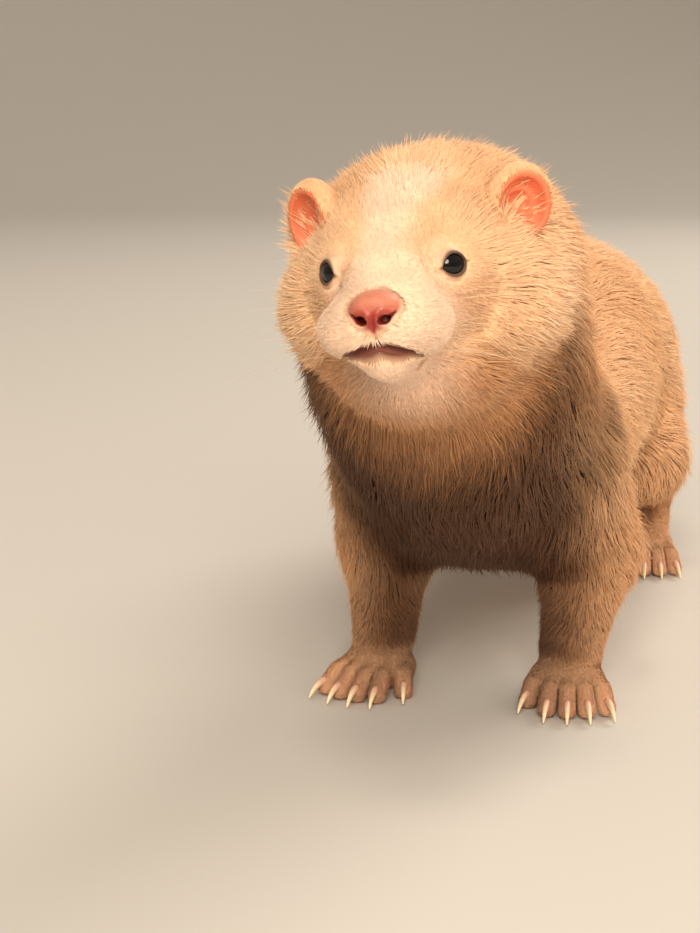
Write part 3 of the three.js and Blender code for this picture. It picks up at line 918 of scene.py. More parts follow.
def skin_shape(line):
    """The skin's points and triangles, folds included, and its normals before the folds."""
    points, quads = net_of(skin, SKIN_LOW, SKIN_HIGH, SKIN_CELL)
    triangles = in_triangles(quads)
    points = relax(points, triangles, skin, 2)
    h = head_frame(points)
    kept = (h[:, 1] < FINE_BACK) & (h[:, 2] > FINE_LOW) | (points[:, 2] < FINE_HEIGHT)
    points, triangles = thinned(points, triangles, BODY_SHARE, kept)
    target = edge_target(line)
    for _ in range(3):
        points, triangles = split_long_edges(points, triangles, target)
        points = relax(points, triangles, skin, 1)
    normals = normals_of(points, triangles)
    h = head_frame(points)
    turned = head_frame(normals + on_head(0, 0, 0))
    h = carve_mouth(h, turned, line)
    points = from_head(carve_ears(carve_nose(carve_lids(h))))
    points[:, 2] = np.maximum(points[:, 2], FLOOR_GAP)
    return points, triangles, normals


# Markings: colours of the coat by place, as sRGB hex, for undercoat and tips. Some are partly or wholly
# painted shade, shadow or highlight, as noted where they are used.

def paint(code):
    """An sRGB colour as linear red, green and blue."""
    parts = np.array([int(code[i:i + 2], 16) for i in (0, 2, 4)]) / 255
    return np.where(parts <= 0.04045, parts / 12.92, ((parts + 0.055) / 1.055) ** 2.4)


WHITE = paint("f8deca")
CREAM = paint("f4d1ac")
GOLD = paint("dca672")
TAN = paint("b67a4e")
BROWN = paint("7a4c2c")
DARK = paint("33180f")
NOSE_PINK = paint("9c332b")
# Painted highlight: the upper part of the nose pad is this lighter pink, where light falls on it from above.
PAINTED_NOSE_HIGHLIGHT = paint("e09478")
# The lips' own darker pink, darkened further as painted shade along the mouth.
SHADED_LIP = paint("7c3226")
# Painted shade: the near black-red laid into the mouth's groove and the nostrils, where shade falls.
MOUTH_SHADE = paint("43150e")
# The lid rims' own brown, darkened to near black as painted shade on the rims and in the sockets round the
# eyes.
LID_AND_SOCKET_SHADE = paint("3c221a")
EAR_PINK = paint("e8744e")
PAW_PINK = paint("dd9482")
FACE_SKIN = paint("e6b896")


def layered(base, layers):
    """Colours or directions laid over one another, each with its weight at every point."""
    for other, weight in layers:
        base = mix(base, other, weight[:, None])
    return base


def places(points):
    """How far each point belongs to the marked parts of the body, and to the places of painted shade and
    shadow, from 0 to 1.
    """
    x, y, z = points.T
    hx, hy, hz = to_head(x, y, z)
    out = np.abs(x)
    head = smooth(48, 30, hy)
    blaze_width = 4.5 + 3 * smooth(-10, 8, hy)
    on_blaze = smooth(blaze_width + 3, blaze_width - 3, np.abs(hx))
    beside = smooth(9, 14, np.abs(hx))
    above_chest_line = z - 94 + 0.45 * (y + 104)
    return {
        "head": head,
        "muzzle": head * smooth(-2, -14, hy + 0.3 * hz),
        "blaze": on_blaze * smooth(22, 6, hy) * smooth(-6, 2, hz),
        # Painted shadow: a tan band beside and behind the whisker pads, where their fluff casts shade.
        "pad_shadow": head * beside * smooth(-15, -8, hy) * smooth(10, 0, hy) * smooth(0, -6, hz),
        # Under the head: the throat's tan is partly its fur and partly painted shade, as the head's
        # underside lies in shade.
        "throat": head * smooth(-12, -26, hz),
        "crown": head * smooth(2, 14, hz) * (1 - 0.6 * smooth(9, 4, np.abs(hx))),
        # The lower back of the cheeks: partly tan fur, partly painted shade.
        "cheek": head * smooth(14, 26, np.abs(hx)) * smooth(8, 20, hy) * smooth(10, -4, hz),
        # The dark chest is partly its own dark brown fur and partly painted shade between and above the
        # forelegs.
        "dark_bib_and_shade": smooth(-66, -96, y) * smooth(6, -10, above_chest_line) * smooth(40, 22, out) * smooth(26, 38, hy),
        "foreleg": smooth(-44, -64, y) * smooth(88, 44, z) * smooth(6, 22, out),
        "hindleg": smooth(28, 52, y) * smooth(66, 34, z) * smooth(8, 22, out) * smooth(122, 108, y),
        "tail": smooth(100, 140, y),
        "tail_tip": smooth(190, 232, y),
        "neck": (1 - head) * smooth(-70, -112, y) * smooth(82, 100, z),
        "back": (1 - head) * smooth(70, 108, z),
        "belly": (1 - head) * smooth(58, 40, z) * smooth(26, 14, out),
        "paw": smooth(17, 9, z) * (1 - smooth(100, 110, y)),
    }


def undercoat(points):
    on = places(points)
    return layered(CREAM, [
        (GOLD, 0.2 * on["back"]),
        (GOLD, 0.4 * on["neck"]),
        (TAN, 0.35 * np.maximum(on["foreleg"], on["hindleg"])),
        (TAN, 0.45 * on["tail"]),
        # The dark chest's undercoat: its own dark fur, made darker still as painted shade.
        (BROWN, 0.9 * on["dark_bib_and_shade"]),
        (DARK, 0.6 * on["dark_bib_and_shade"]),
        # On the throat, gold and tan stand partly for its fur and partly for painted shade under the head.
        (GOLD, 0.3 * on["crown"] + 0.6 * on["throat"]),
        (TAN, 0.35 * on["throat"]),
        (WHITE, 0.75 * np.maximum(on["muzzle"], on["blaze"])),
        (FACE_SKIN, 0.45 * on["paw"]),
    ])


def tip_colour(points):
    on = places(points)
    legs = np.maximum(on["foreleg"], on["hindleg"])
    return layered(GOLD, [
        (CREAM, 0.85 * on["head"]),
        (TAN, 0.5 * on["neck"]),
        (TAN, 0.3 * on["back"]),
        (CREAM, 0.3 * on["belly"]),
        # The lower back of the cheeks: tan fur with painted shade.
        (TAN, 0.2 * on["cheek"]),
        # The throat's tan tips: partly its fur, partly painted shade under the head.
        (TAN, 0.8 * on["throat"]),
        (GOLD, 0.45 * on["crown"]),
        # Painted shadow beside the whisker pads, in tan.
        (TAN, 0.85 * on["pad_shadow"]),
        (TAN, 0.4 * legs),
        # The dark chest's tips: dark fur with painted shade.
        (DARK, 0.95 * on["dark_bib_and_shade"]),
        (BROWN, 0.75 * on["tail"]),
        (DARK, 0.4 * on["tail_tip"]),
        # The white is held back where the shadow beside the whisker pads is painted.
        (WHITE, 0.9 * np.maximum(on["muzzle"], on["blaze"]) * (1 - 0.85 * on["pad_shadow"])),
        (TAN, 0.5 * on["paw"]),
        (CREAM, 0.35 * on["paw"]),
    ])


def lid_edge(h):
    """How far each point lies inside the edge of the nearer eye's lids."""
    return np.maximum.reduce([lid_opening(side, h)[0] for side in SIDES.values()])


def pink_parts(points, line):
    """How bare the skin is: the nose, lips, lids, ears and toes, from 0 to 1 each."""
    h = head_frame(points)
    inner_ear = np.zeros(len(h))
    for side in SIDES.values():
        own = ear_own(side, h)
        cup = np.hypot(own[:, 0] / EAR_RADIUS, (own[:, 2] + 0.3) / EAR_RADIUS)
        near = np.linalg.norm(own, axis=1) < EAR_RADIUS + 1.5
        inner_ear = np.maximum(inner_ear, near * smooth(1.02, 0.85, cup) * (own[:, 1] < 2.4))
    nose = smooth(0.9, 0.3, nose_pad(*h.T)) * (h[:, 1] < NOSE[1] + 2.5)
    return {
        "nose": nose,
        "nostril": np.maximum(*nostril_share(h)) * nose,
        "mouth": bell(from_line(line, h), 0.25 + mouth_width(h)),
        "lip": bell(lip_gap(line, h), 1.7) * smooth(13, 7, np.abs(h[:, 0])),
        "lid": smooth(-1.1, -0.35, lid_edge(h)),
        "ear": inner_ear,
        "paw": smooth(9, 4, points[:, 2]) * (points[:, 1] < 100),
    }


def skin_colour(points, line):
    """The skin's colour, and how wet it is."""
    bare = pink_parts(points, line)
    _, forward, up = to_head(*points.T)
    face = np.maximum(smooth(24, 4, forward), places(points)["paw"])
    # Painted highlight: the upper part of the nose pad, outside the nostrils, is lighter, where light falls
    # on it from above.
    nose_highlight = smooth(-8.2, -4.6, up) * bare["nose"] * (1 - bare["nostril"])
    # Painted shade: the skin under the coat takes the undercoat's colour darkened to 0.8, for the shade
    # between the tufts.
    colour = layered(0.8 * undercoat(points), [
        (FACE_SKIN, 0.75 * face),
        (EAR_PINK, 0.9 * bare["ear"]),
        (PAW_PINK, 0.8 * bare["paw"]),
        # The lips: their own darker pink, with painted shade along the mouth.
        (SHADED_LIP, 0.92 * bare["lip"]),
        (NOSE_PINK, bare["nose"]),
        # Painted shade in the mouth's groove and in the nostrils.
        (MOUTH_SHADE, 0.85 * bare["mouth"]),
        (MOUTH_SHADE, 0.9 * bare["nostril"]),
        # The lids: their own brown with painted shade, darkened over the rims and the socket's wall inside
        # them.
        (LID_AND_SOCKET_SHADE, 0.9 * bare["lid"]),
        (PAINTED_NOSE_HIGHLIGHT, 0.75 * nose_highlight),
    ])
    return colour, np.maximum(bare["nose"], 0.6 * bare["mouth"])


# The coat: tufts that start in the skin, lie along the body and end at the solids' outline

TUFTS = 232000
PIECE_TUFTS = 33000  # a piece stays under 200,000 triangles at 6 to a tuft
ROOT_DEPTH = 0.4
GUARD_SHARE = 0.3  # of the tufts are long, thin and darker
CLUMP_TUFTS = 9
STRAY_SHARE = 0.15  # of the tufts stand out of the rest
MIDDLE_SHARE = 0.42  # of a tuft's length lies before its broadest place
EAR_RUN = 2.0  # how long the tufts on the ears are
EAR_RISE = 0.5
INNER_EAR_SHARE = 0.008  # of the coat's density is left in the ears' cups
PATCH = 0.003  # how wide a tuft is on the bake's map


WAVES = 7


def wander(points, length, seed):
    """A smooth, repeatable noise of about -1 to 1, that changes over this length."""
    rng = np.random.default_rng(seed)
    total = np.zeros(len(points))
    for _ in range(WAVES):
        way = unit(rng.normal(size=3)) * (2 * math.pi / length) * rng.uniform(0.5, 1.5)
        total += np.sin(points @ way + rng.uniform(0, 2 * math.pi))
    return total / math.sqrt(WAVES / 2) / 1.6


def lie_of(points, normals):
    """Which way the coat lies: a unit vector along the skin at each point."""
    h = head_frame(points)
    on = places(points)
    away = unit(h - (NOSE + at(0, 2, 3))) + at(0, 0.45, -0.1)
    eye_gap = from_eyes(*h.T) - EYE_RADIUS
    nearest_eye = np.where(h[:, :1] > 0, EYES[1], EYES[-1])
    away += unit(h - nearest_eye) * (6 * np.exp(-np.maximum(eye_gap, 0) / 2.2))[:, None]
    on_pad = smooth(-4, -12, h[:, 1]) * smooth(-4, -9, h[:, 2]) * smooth(-17, -15, h[:, 2])
    part = smooth(0, 2.5, np.abs(h[:, 0])) * np.sign(h[:, 0])
    away += np.stack([1.1 * part * on_pad, 0.5 * on_pad, 0.5 * on_pad], 1)
    for side in SIDES.values():
        own = ear_own(side, h)
        near = smooth(EAR_RADIUS + 2, EAR_RADIUS, np.linalg.norm(own, axis=1))
        fan = unit(own - (-3 * side, 0.5, -8)) @ ear_axes(side)[1]
        away = mix(away, fan, near[:, None])
    way = np.stack(rolled(*away.T), 1)

    flank = np.abs(normals[:, 0])
    one, none = np.ones(len(points)), np.zeros(len(points))
    trunk_way = np.stack([none, one, -0.2 - 0.45 * flank], 1)
    neck_way = np.stack([none, 0.8 * one, -0.62 - 0.3 * flank], 1)
    body = layered(trunk_way, [
        (neck_way, smooth(-66, -104, points[:, 1])),
        (at(0, 0.25, -1), on["dark_bib_and_shade"]),
        (at(0, 0.3, -1), np.maximum(on["foreleg"], on["hindleg"])),
        (at(0, -1, -0.25), smooth(17, 9, points[:, 2]) * (points[:, 1] < 88)),
        (at(0, 1, -0.33), on["tail"]),
    ])
    way = mix(body, way, smooth(50, 26, h[:, 1])[:, None])
    way = way + at(0, 0, -0.02)
    return unit(way - normals * (way * normals).sum(1, keepdims=True))


def ear_share(points):
    """1 on the ears' cups, 0 off them, and how far inside the cup's opening."""
    h = head_frame(points)
    on, inner = np.zeros(len(h)), np.zeros(len(h))
    for side, field in zip(SIDES.values(), pair(ear)):
        own = ear_own(side, h)
        ear_here = (measure(field, h) < 0.25) & (own[:, 2] + 0.6 * own[:, 0] * -side > -7.5)
        on = np.maximum(on, ear_here)
        cup = np.hypot(own[:, 0] / (EAR_RADIUS - 1.2), (own[:, 2] + 0.5) / (EAR_RADIUS - 0.6))
        hollow = ear_here * smooth(1.05, 0.9, cup) * (own[:, 1] < 2.6) * (own[:, 1] > -4)
        low = smooth(-1.5, -4.5, own[:, 2] + 0.7 * own[:, 0] * side)
        inner = np.maximum(inner, hollow * (1 - 0.2 * low))
    return on, inner


def run_of(points, depth, ears_on):
    """How far along the body a tuft goes."""
    h = head_frame(points)
    run = 1.3 + 2.0 * depth
    run = mix(1.2, run, smooth(5, 13, from_eyes(*h.T)))
    run = run * mix(1, 0.75, places(points)["paw"])
    return mix(run, EAR_RUN, ears_on)


def width_of(depth):
    return 0.2 + 0.036 * depth


def nose_edge(points):
    """1 beside the nose pad, where the coat is lowest, to 0 further off."""
    return smooth(5, 0.4, nose_pad(*to_head(*points.T)))


def pad_share(points):
    """1 on the whisker pads, where the coat is fluffy and white."""
    h = head_frame(points)
    out = (np.abs(h[:, 0]) - 9.5) / 4.5
    return np.exp(-(out ** 2 + ((h[:, 1] + 15) / 5.5) ** 2 + ((h[:, 2] + 10.5) / 3.6) ** 2))


def spread_roots(points, triangles, density, count, rng):
    """Places on the mesh, as triangle numbers and shares of its corners, as dense as density says."""
    a, b, c = (points[triangles[:, i]] for i in range(3))
    area = np.linalg.norm(np.cross(b - a, c - a), axis=1) / 2
    total = np.cumsum(area * density)
    spots = (np.arange(count) + rng.uniform(0, 1, count)) / count * total[-1]
    chosen = np.minimum(np.searchsorted(total, spots), len(triangles) - 1)
    u, v = rng.uniform(0, 1, (2, count))
    over = u + v > 1
    u[over] = 1 - u[over]
    v[over] = 1 - v[over]
    return chosen, np.stack([1 - u - v, u, v], 1)


def turned_about(vectors, axes, angle):
    c, s = np.cos(angle)[:, None], np.sin(angle)[:, None]
    return vectors * c + np.cross(axes, vectors) * s


def coat_outline(x, y, z):
    return np.minimum.reduce([outline(x, y, z), *(field(x, y, z) for field in ears)])


def tuft_density(spots, facing, line):
    """How densely tufts stand. None grow where the skin is bare."""
    depth = coat_depth(*spots.T)
    ears_on, inner = ear_share(spots)
    h = head_frame(spots)
    bare = pink_parts(spots, line)
    density = 0.6 + 0.9 * places(spots)["head"]
    density /= run_of(spots, depth, ears_on) * width_of(depth)
    lips = 0.45 + 1.1 * mouth_middle(h)
    density *= smooth(lips, lips + 0.8, lip_gap(line, h)) * smooth(-1.1, -1.8, lid_edge(h))
    density *= smooth(0.35, 0.05, bare["nose"]) * (1 - bare["lid"])
    density *= mix(1, INNER_EAR_SHARE, inner)
    height = spots[:, 2]
    density *= mix(1, smooth(-0.75, -0.3, facing[:, 2]), smooth(8, 4, height))
    return density * mix(1, 0.65, smooth(9, 5, height))


def clumped(root, tip, run, pull):
    """The tips, drawn by the share pull towards where a tuft nearby points."""
    leaders = np.arange(0, len(root), CLUMP_TUFTS)
    tree = KDTree(len(leaders))
    for i, place in enumerate(root[leaders].tolist()):
        tree.insert(place, i)
    tree.balance()
    leader = leaders[[tree.find(place)[1] for place in root.tolist()]]
    lead = root[leader] + (tip - root)[leader] * (run / np.maximum(run[leader], 0.1))[:, None]
    return mix(tip, lead, pull[:, None])


def tuft_paths(points, triangles, normals, line):
    """Root, middle and tip of every tuft, its width, and whether it is a guard hair."""
    rng = np.random.default_rng(SEED)
    density = tuft_density(points[triangles].mean(1), unit(normals[triangles].sum(1)), line)
    count = TUFTS
    chosen, shares = spread_roots(points, triangles, density, count, rng)

    corners = triangles[chosen]
    root = (points[corners] * shares[:, :, None]).sum(1)
    normal = unit((normals[corners] * shares[:, :, None]).sum(1))
    depth = coat_depth(*root.T)
    ears_on, inner = ear_share(root)
    on_ear = ears_on > 0
    guard = rng.uniform(0, 1, count) < GUARD_SHARE
    size = rng.uniform(0.7, 1.12, count) * np.where(guard, 1.12, 0.95)
    pad = pad_share(root)
    run = run_of(root, depth, ears_on) * size * (1 + 0.9 * pad)
    swirl = 0.3 * wander(root, 34, SEED) + 0.22 * wander(root, 9, SEED + 1) + rng.normal(0, 0.13, count)
    along = turned_about(lie_of(root, normal), normal, swirl)
    rise = np.where(on_ear, EAR_RISE, depth)
    tip = root + along * run[:, None] + normal * rise[:, None]
    pull = np.where(guard, 0.25, 0.5) * smooth(0.8, 3, depth) * rng.uniform(0.5, 1, count)
    tip = clumped(root, tip, run, pull)

    stray = (rng.uniform(0, 1, count) < STRAY_SHARE) * np.minimum(depth, 5) * rng.uniform(0.1, 0.5, count)
    stray = stray + pad * rng.uniform(0.4, 2.0, count)
    goal = np.where(guard, 0, -0.12) * depth + stray - 0.1 * depth * rng.uniform(0, 1, count)
    goal = goal - 0.3 * nose_edge(root)
    goal = np.where(on_ear, rng.uniform(0.1, 0.5, count), goal)
    tip = drawn_to(tip, normal, goal, 0.8 * rise + 0.3)
    middle = root + (tip - root) * MIDDLE_SHARE + normal * (0.1 * rise)[:, None]
    middle = drawn_to(middle, normal, np.where(on_ear, 0.15, -0.42 * depth), 0.4 * rise)
    width = width_of(depth) * np.where(guard, 0.75, 1.1) * rng.uniform(0.8, 1.25, count)
    width = width * (1 - 0.3 * inner)
    middle[:, 2] = np.maximum(middle[:, 2], FLOOR_GAP + width / 2)
    tip[:, 2] = np.maximum(tip[:, 2], FLOOR_GAP)
    return {"root": root, "normal": normal, "middle": middle, "tip": tip, "width": width, "guard": guard}


def drawn_to(points, normal, goal, most):
    """Moves points along the normal until the outline's field has about the value of goal there."""
    gap = goal - measure(coat_outline, points)
    return points + normal * np.clip(gap, -most, most)[:, None]


def tuft_meshes(paths):
    """Five points and six triangles for each tuft: a root, three round its middle and a tip."""
    root = paths["root"] - paths["normal"] * ROOT_DEPTH
    middle, tip = paths["middle"], paths["tip"]
    side = unit(np.cross(tip - root, paths["normal"])) * (paths["width"] / 2)[:, None]
    over = unit(np.cross(side, tip - root)) * (paths["width"] * 0.3)[:, None]
    points = np.stack([root, middle - side, middle + over, middle + side, tip], 1)
    wheel = np.array([(0, 2, 1), (0, 3, 2), (0, 1, 3), (4, 1, 2), (4, 2, 3), (4, 3, 1)])
    return points, wheel


# Painted light: these warm tints on the deep and middle parts of every tuft stand in for light that scatters
# through the coat.
PAINTED_DEEP_WARMTH = at(1, 0.84, 0.68)  # light that comes from deep in the coat is warmer
PAINTED_MIDDLE_WARMTH = at(1, 0.93, 0.85)
MAP_OFFSETS = np.array([(0, -1), (-0.9, -0.1), (0, 0.2), (0.9, -0.1), (0, 1)]) * PATCH / 2


def coat_colours(paths, rng):
    """The colour at each of a tuft's five points."""
    root = paths["root"]
    count = len(root)
    under, tips = undercoat(root), tip_colour(root)
    patchy = 0.5 + 0.5 * wander(root, 26, SEED + 5)
    lean = np.where(paths["guard"], 0.95, 0.42) + 0.3 * (patchy - 0.5) + rng.normal(0, 0.08, count)
    end = mix(under, tips, np.clip(lean, 0, 1)[:, None])
    end = mix(end, WHITE, (0.8 * pad_share(root))[:, None])
    tone = rng.normal(1, 0.055, count)[:, None]
    # Painted shade: the roots are darker, more so on the body than on the head, for the shade deep between
    # the tufts.
    painted_root_shade = mix(0.66, 0.85, places(root)["head"])[:, None]
    inside, beside = under * painted_root_shade * PAINTED_DEEP_WARMTH, mix(under, end, 0.4) * PAINTED_MIDDLE_WARMTH
    shades = [inside, beside, mix(under, end, 0.5) * PAINTED_MIDDLE_WARMTH, beside, end]
    return np.clip(np.stack([colour * tone for colour in shades], 1), 0, 1)


# Regions of the coat, each unwrapped as a cylinder round its own line

def round_line(points, spine, along):
    """Turn round a line and distance along it, for a line that runs along y (1) or z (2)."""
    spine = np.array(sorted((tuple(p) for p in spine), key=lambda p: p[along]))
    centre = np.stack([np.interp(points[:, along], spine[:, along], spine[:, i]) for i in range(3)], 1)
    rel = points - centre
    other = 2 if along == 1 else 1
    return np.arctan2(rel[:, 0], rel[:, other]) / (2 * math.pi), points[:, along]


TRUNK_LINE = [(0, RUMP_Y, 72), (0, RUMP_Y - 84, 76), (0, SHOULDER_Y + 12, 68), (0, SHOULDER_Y - 44, 102),
              (0, -EYE_FORWARD + 44, EYE_HEIGHT - 4), (0, -EYE_FORWARD + 8, EYE_HEIGHT - 4),
              (0, -EYE_FORWARD - MUZZLE_LENGTH, EYE_HEIGHT - 9)]
TAIL_LINE = [(0, TAIL_ROOT_Y + TAIL_LENGTH * share, z) for share, z, _ in TAIL]


def regions_of(points):
    """For each region, its name, its slot, the points in it and their places on its unwrap."""
    x, y, z = points.T
    ears_on, _ = ear_share(points)
    hy = to_head(x, y, z)[1]
    on = places(points)
    legs = (np.maximum(on["foreleg"], on["hindleg"]) > 0.4) | (z < 24) & (y < 105)
    masks = {"ears": ears_on > 0, "head": hy < 42, "tail": y > RUMP_Y, "legs": legs}
    free = np.ones(len(points), bool)
    for name, mask in masks.items():
        masks[name] = mask & free
        free &= ~mask
    found = [
        ("head", "coat_cream", masks["head"], *round_line(points, TRUNK_LINE, 1)),
        ("neck", "coat_cream", free & (y < SHOULDER_Y), *round_line(points, TRUNK_LINE, 1)),
        ("trunk", "coat_gold", free & (y >= SHOULDER_Y), *round_line(points, TRUNK_LINE, 1)),
        ("tail", "coat_brown", masks["tail"], *round_line(points, TAIL_LINE, 1)),
    ]
    for name, side in SIDES.items():
        own = ear_own(side, head_frame(points))
        turn = np.arctan2(own[:, 0], own[:, 2]) / (2 * math.pi)
        here = masks["ears"] & (x * side > 0)
        found.append((f"ear_{name}", "coat_cream", here, turn, own[:, 1]))
    for part in limbs:
        fore = part["name"].startswith("fore")
        here = masks["legs"] & (x * part["side"] > 0) & ((y < -20) == fore)
        ankle = part["middle"] + at(0, 6, 0)
        spine = [ankle, ankle + at(0, 0, 16), at(part["side"] * 28, ankle[1] + (12 if fore else 6), 60)]
        turn, height = round_line(points, spine, 2)
        ahead = np.maximum(ankle[1] - y, 0) * smooth(22, 12, z)
        found.append((f"leg_{part['name']}", "coat_brown", here, turn, height - 0.8 * ahead))
    return found


# Materials: each is a principled shader whose colour and roughness come from nodes

class Finish:
    """A material in the making. Its helpers give outputs that other nodes can take."""

    def __init__(self, name, **constants):
        self.material = bpy.data.materials.new(name)
        self.material.use_nodes = True
        self.shader = self.material.node_tree.nodes["Principled BSDF"]
        self.feed(self.shader, **constants)

    def feed(self, node, **inputs):
        """Sets or joins the node's inputs, each to a constant or to another node's output."""
        for name, value in inputs.items():
            socket = node.inputs[name.replace("_", " ")]
            if isinstance(value, bpy.types.NodeSocket):
                self.material.node_tree.links.new(value, socket)
            else:
                socket.default_value = value

    def node(self, kind, **inputs):
        made = self.material.node_tree.nodes.new("ShaderNode" + kind)
        self.feed(made, **inputs)
        return made

    def noise(self, scale, detail=3.0):
        place = self.node("TexCoord").outputs["Object"]
        return self.node("TexNoise", Vector=place, Scale=scale, Detail=detail, Roughness=0.55).outputs["Fac"]

    def mottle(self, scale, low, high, detail=3.0):
        """A noise, mostly from 0.3 to 0.7, stretched to run from low to high."""
        made = self.node("MapRange", Value=self.noise(scale, detail), From_Min=0.3, From_Max=0.7,
                         To_Min=low, To_Max=high)
        return made.outputs["Result"]

    def times(self, colour, value):
        """A colour made lighter or darker by a value."""
        made = self.node("VectorMath")
        made.operation = "SCALE"
        self.feed(made, Vector=colour, Scale=value)
        return made.outputs["Vector"]

    def attribute(self, name, output="Fac"):
        made = self.node("Attribute")
        made.attribute_name = name
        return made.outputs[output]

    def ramp(self, value, *stops):
        """A colour between two stops, each a position and a colour, by the value."""
        made = self.node("ValToRGB", Fac=value)
        for stop, (position, colour) in zip(made.color_ramp.elements, stops):
            stop.position = position
            stop.color = (*colour, 1)
        return made.outputs["Color"]

    def relief(self, height, depth, strength):
        bump = self.node("Bump", Height=height, Strength=strength, Distance=depth)
        self.feed(self.shader, Normal=bump.outputs["Normal"])

    def done(self, colour, rough):
        self.feed(self.shader, Base_Color=colour, Roughness=rough)
        return self.material


def coat_material():
    made = Finish("coat", Specular_IOR_Level=0.25, Sheen_Weight=0.1, Sheen_Roughness=0.45,
                  Sheen_Tint=(1.0, 0.9, 0.74, 1))
    patches, streaks = made.mottle(90, 0.9, 1.08), made.mottle(1100, 0.9, 1.07, 1)
    colour = made.times(made.times(made.attribute("coat", "Color"), patches), streaks)
    return made.done(colour, made.mottle(300, 0.5, 0.72))


def skin_material():
    made = Finish("skin", Specular_IOR_Level=0.4, Subsurface_Weight=0.12, Subsurface_Scale=0.002,
                  Subsurface_Radius=(1.0, 0.35, 0.2))
    colour = made.times(made.attribute("hide", "Color"), made.mottle(260, 0.88, 1.08))
    rough = made.node("Mix", Factor=made.attribute("wet"), A=made.mottle(500, 0.5, 0.68),
                      B=made.mottle(900, 0.24, 0.4))
    made.relief(made.noise(1900, 4), 0.0002, 0.55)
    return made.done(colour, rough.outputs[0])


def eye_material():
    made = Finish("eye", IOR=1.34, Coat_Weight=0.5, Coat_Roughness=0.02, Specular_IOR_Level=0.4)
    ring = made.ramp(made.attribute("edge"), (0, (0.003, 0.002, 0.002)), (1, (0.022, 0.01, 0.007)))
    return made.done(made.times(ring, made.mottle(1500, 0.7, 1.3)), made.mottle(700, 0.05, 0.14))


def claw_material():
    made = Finish("claw", Specular_IOR_Level=0.5, Coat_Weight=0.2, Coat_Roughness=0.3)
    colour = made.ramp(made.attribute("share"), (0, paint("d9a088")), (0.75, paint("f0dcb8")))
    made.relief(made.noise(2500), 0.0001, 0.3)
    return made.done(made.times(colour, made.mottle(800, 0.88, 1.06)), made.mottle(1500, 0.3, 0.5))


def whisker_material():
    made = Finish("whisker", Specular_IOR_Level=0.5)
    colour = made.ramp(made.attribute("share"), (0, paint("c4a682")), (0.5, paint("ecd9b8")))
    return made.done(made.times(colour, made.mottle(200, 0.85, 1.05)), made.mottle(400, 0.3, 0.45))


def floor_material():
    made = Finish("floor", Specular_IOR_Level=0.2)
    tone = made.mottle(3, 0.985, 1.0)
    return made.done(made.ramp(tone, (0, (0.44, 0.425, 0.4)), (1, (0.6, 0.58, 0.55))),
                     made.mottle(8, 0.8, 0.9))


# Pieces: meshes in millimetres become objects in the frame's metres

def frame_shift():
    """From the script's millimetres to the frame: the eyes lie at known places in both."""
    middle = sum((np.array(corner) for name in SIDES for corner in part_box(f"eye_{name}")), at(0, 0, 0)) / 4
    return middle / MM - at(0, -EYE_AHEAD - EYE_FORWARD, EYE_HEIGHT)


SHIFT = frame_shift()


def piece(name, points, faces, finish, slot, values=(), patches=None):
    """An object in the frame that rides on its one body. values are colours or numbers at the points,
    patches the places of the points on the bake's map. A piece with patches is shaded flat."""
    mesh = mesh_from(name, (points + SHIFT) * MM, faces, rounded=patches is None)
    mesh.materials.append(finish)
    for key, value in dict(values).items():
        if value.ndim == 2:
            layer = mesh.attributes.new(key, "FLOAT_COLOR", "POINT")
            opaque = np.hstack([value, np.ones((len(value), 1))])
            layer.data.foreach_set("color", opaque.astype(np.float32).ravel())
        else:
            layer = mesh.attributes.new(key, "FLOAT", "POINT")
            layer.data.foreach_set("value", value.astype(np.float32))
    if patches is not None:
        layer = mesh.uv_layers.new(name="OFBake")
        layer.uv.foreach_set("vector", patches[faces.ravel()].astype(np.float32).ravel())
    made = new_object(name, mesh)
    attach(made, "root")
    return made


def make_skin(line):
    shape = skin_shape(line)
    points, triangles, _ = shape
    colour, wet = skin_colour(points, line)
    made = piece("skin", points, triangles, skin_material(), "coat_cream", {"hide": colour, "wet": wet})
    flesh = [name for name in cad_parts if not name.startswith(("eye_", "claw_"))]
    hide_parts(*flesh)
    return shape


def map_places(turn, along):
    """Where the points of tufts lie on the bake's map, with turn across it and along upwards."""
    v = (along - along.min()) / (along.max() - along.min())
    middle = PATCH + (1 - 2 * PATCH) * np.stack([turn % 1, v], 1)
    return (middle[:, None, :] + MAP_OFFSETS).reshape(-1, 2)


def make_coat(shape, line):
    points, triangles, normals = shape
    paths = tuft_paths(points, triangles, normals, line)
    colours = coat_colours(paths, np.random.default_rng(SEED + 2))
    corners, wheel = tuft_meshes(paths)
    finish = coat_material()
    for name, slot, inside, turn, along in regions_of(paths["root"]):
        chosen = np.nonzero(inside)[0]
        if not len(chosen):
            continue
        chosen = chosen[np.argsort(along[chosen], kind="stable")]
        parts = math.ceil(len(chosen) / PIECE_TUFTS)
        for number, members in enumerate(np.array_split(chosen, parts)):
            faces = (5 * np.arange(len(members))[:, None, None] + wheel).reshape(-1, 3)
            own_name = f"coat_{name}" + (f"_{number + 1}" if parts > 1 else "")
            piece(own_name, corners[members].reshape(-1, 3), faces, finish, slot,
                  {"coat": colours[members].reshape(-1, 3)}, map_places(turn[members], along[members]))


def ball(radius, axes, rings=32, around=64):
    """A closed ball round the first of its axes, and how far round to the back each point is."""
    polar = np.linspace(0, math.pi, rings + 1)[1:-1]
    turn = full_turn(around)
    p, t = np.meshgrid(polar, turn, indexing="ij")
    own = np.stack([np.cos(p), np.sin(p) * np.cos(t), np.sin(p) * np.sin(t)], -1).reshape(-1, 3)
    own = np.vstack([(1, 0, 0), own, (-1, 0, 0)])
    turned = np.arccos(np.clip(own[:, 0], -1, 1)) / math.pi
    return radius * own @ np.array(axes), turned, closed_rings(rings - 1, around)


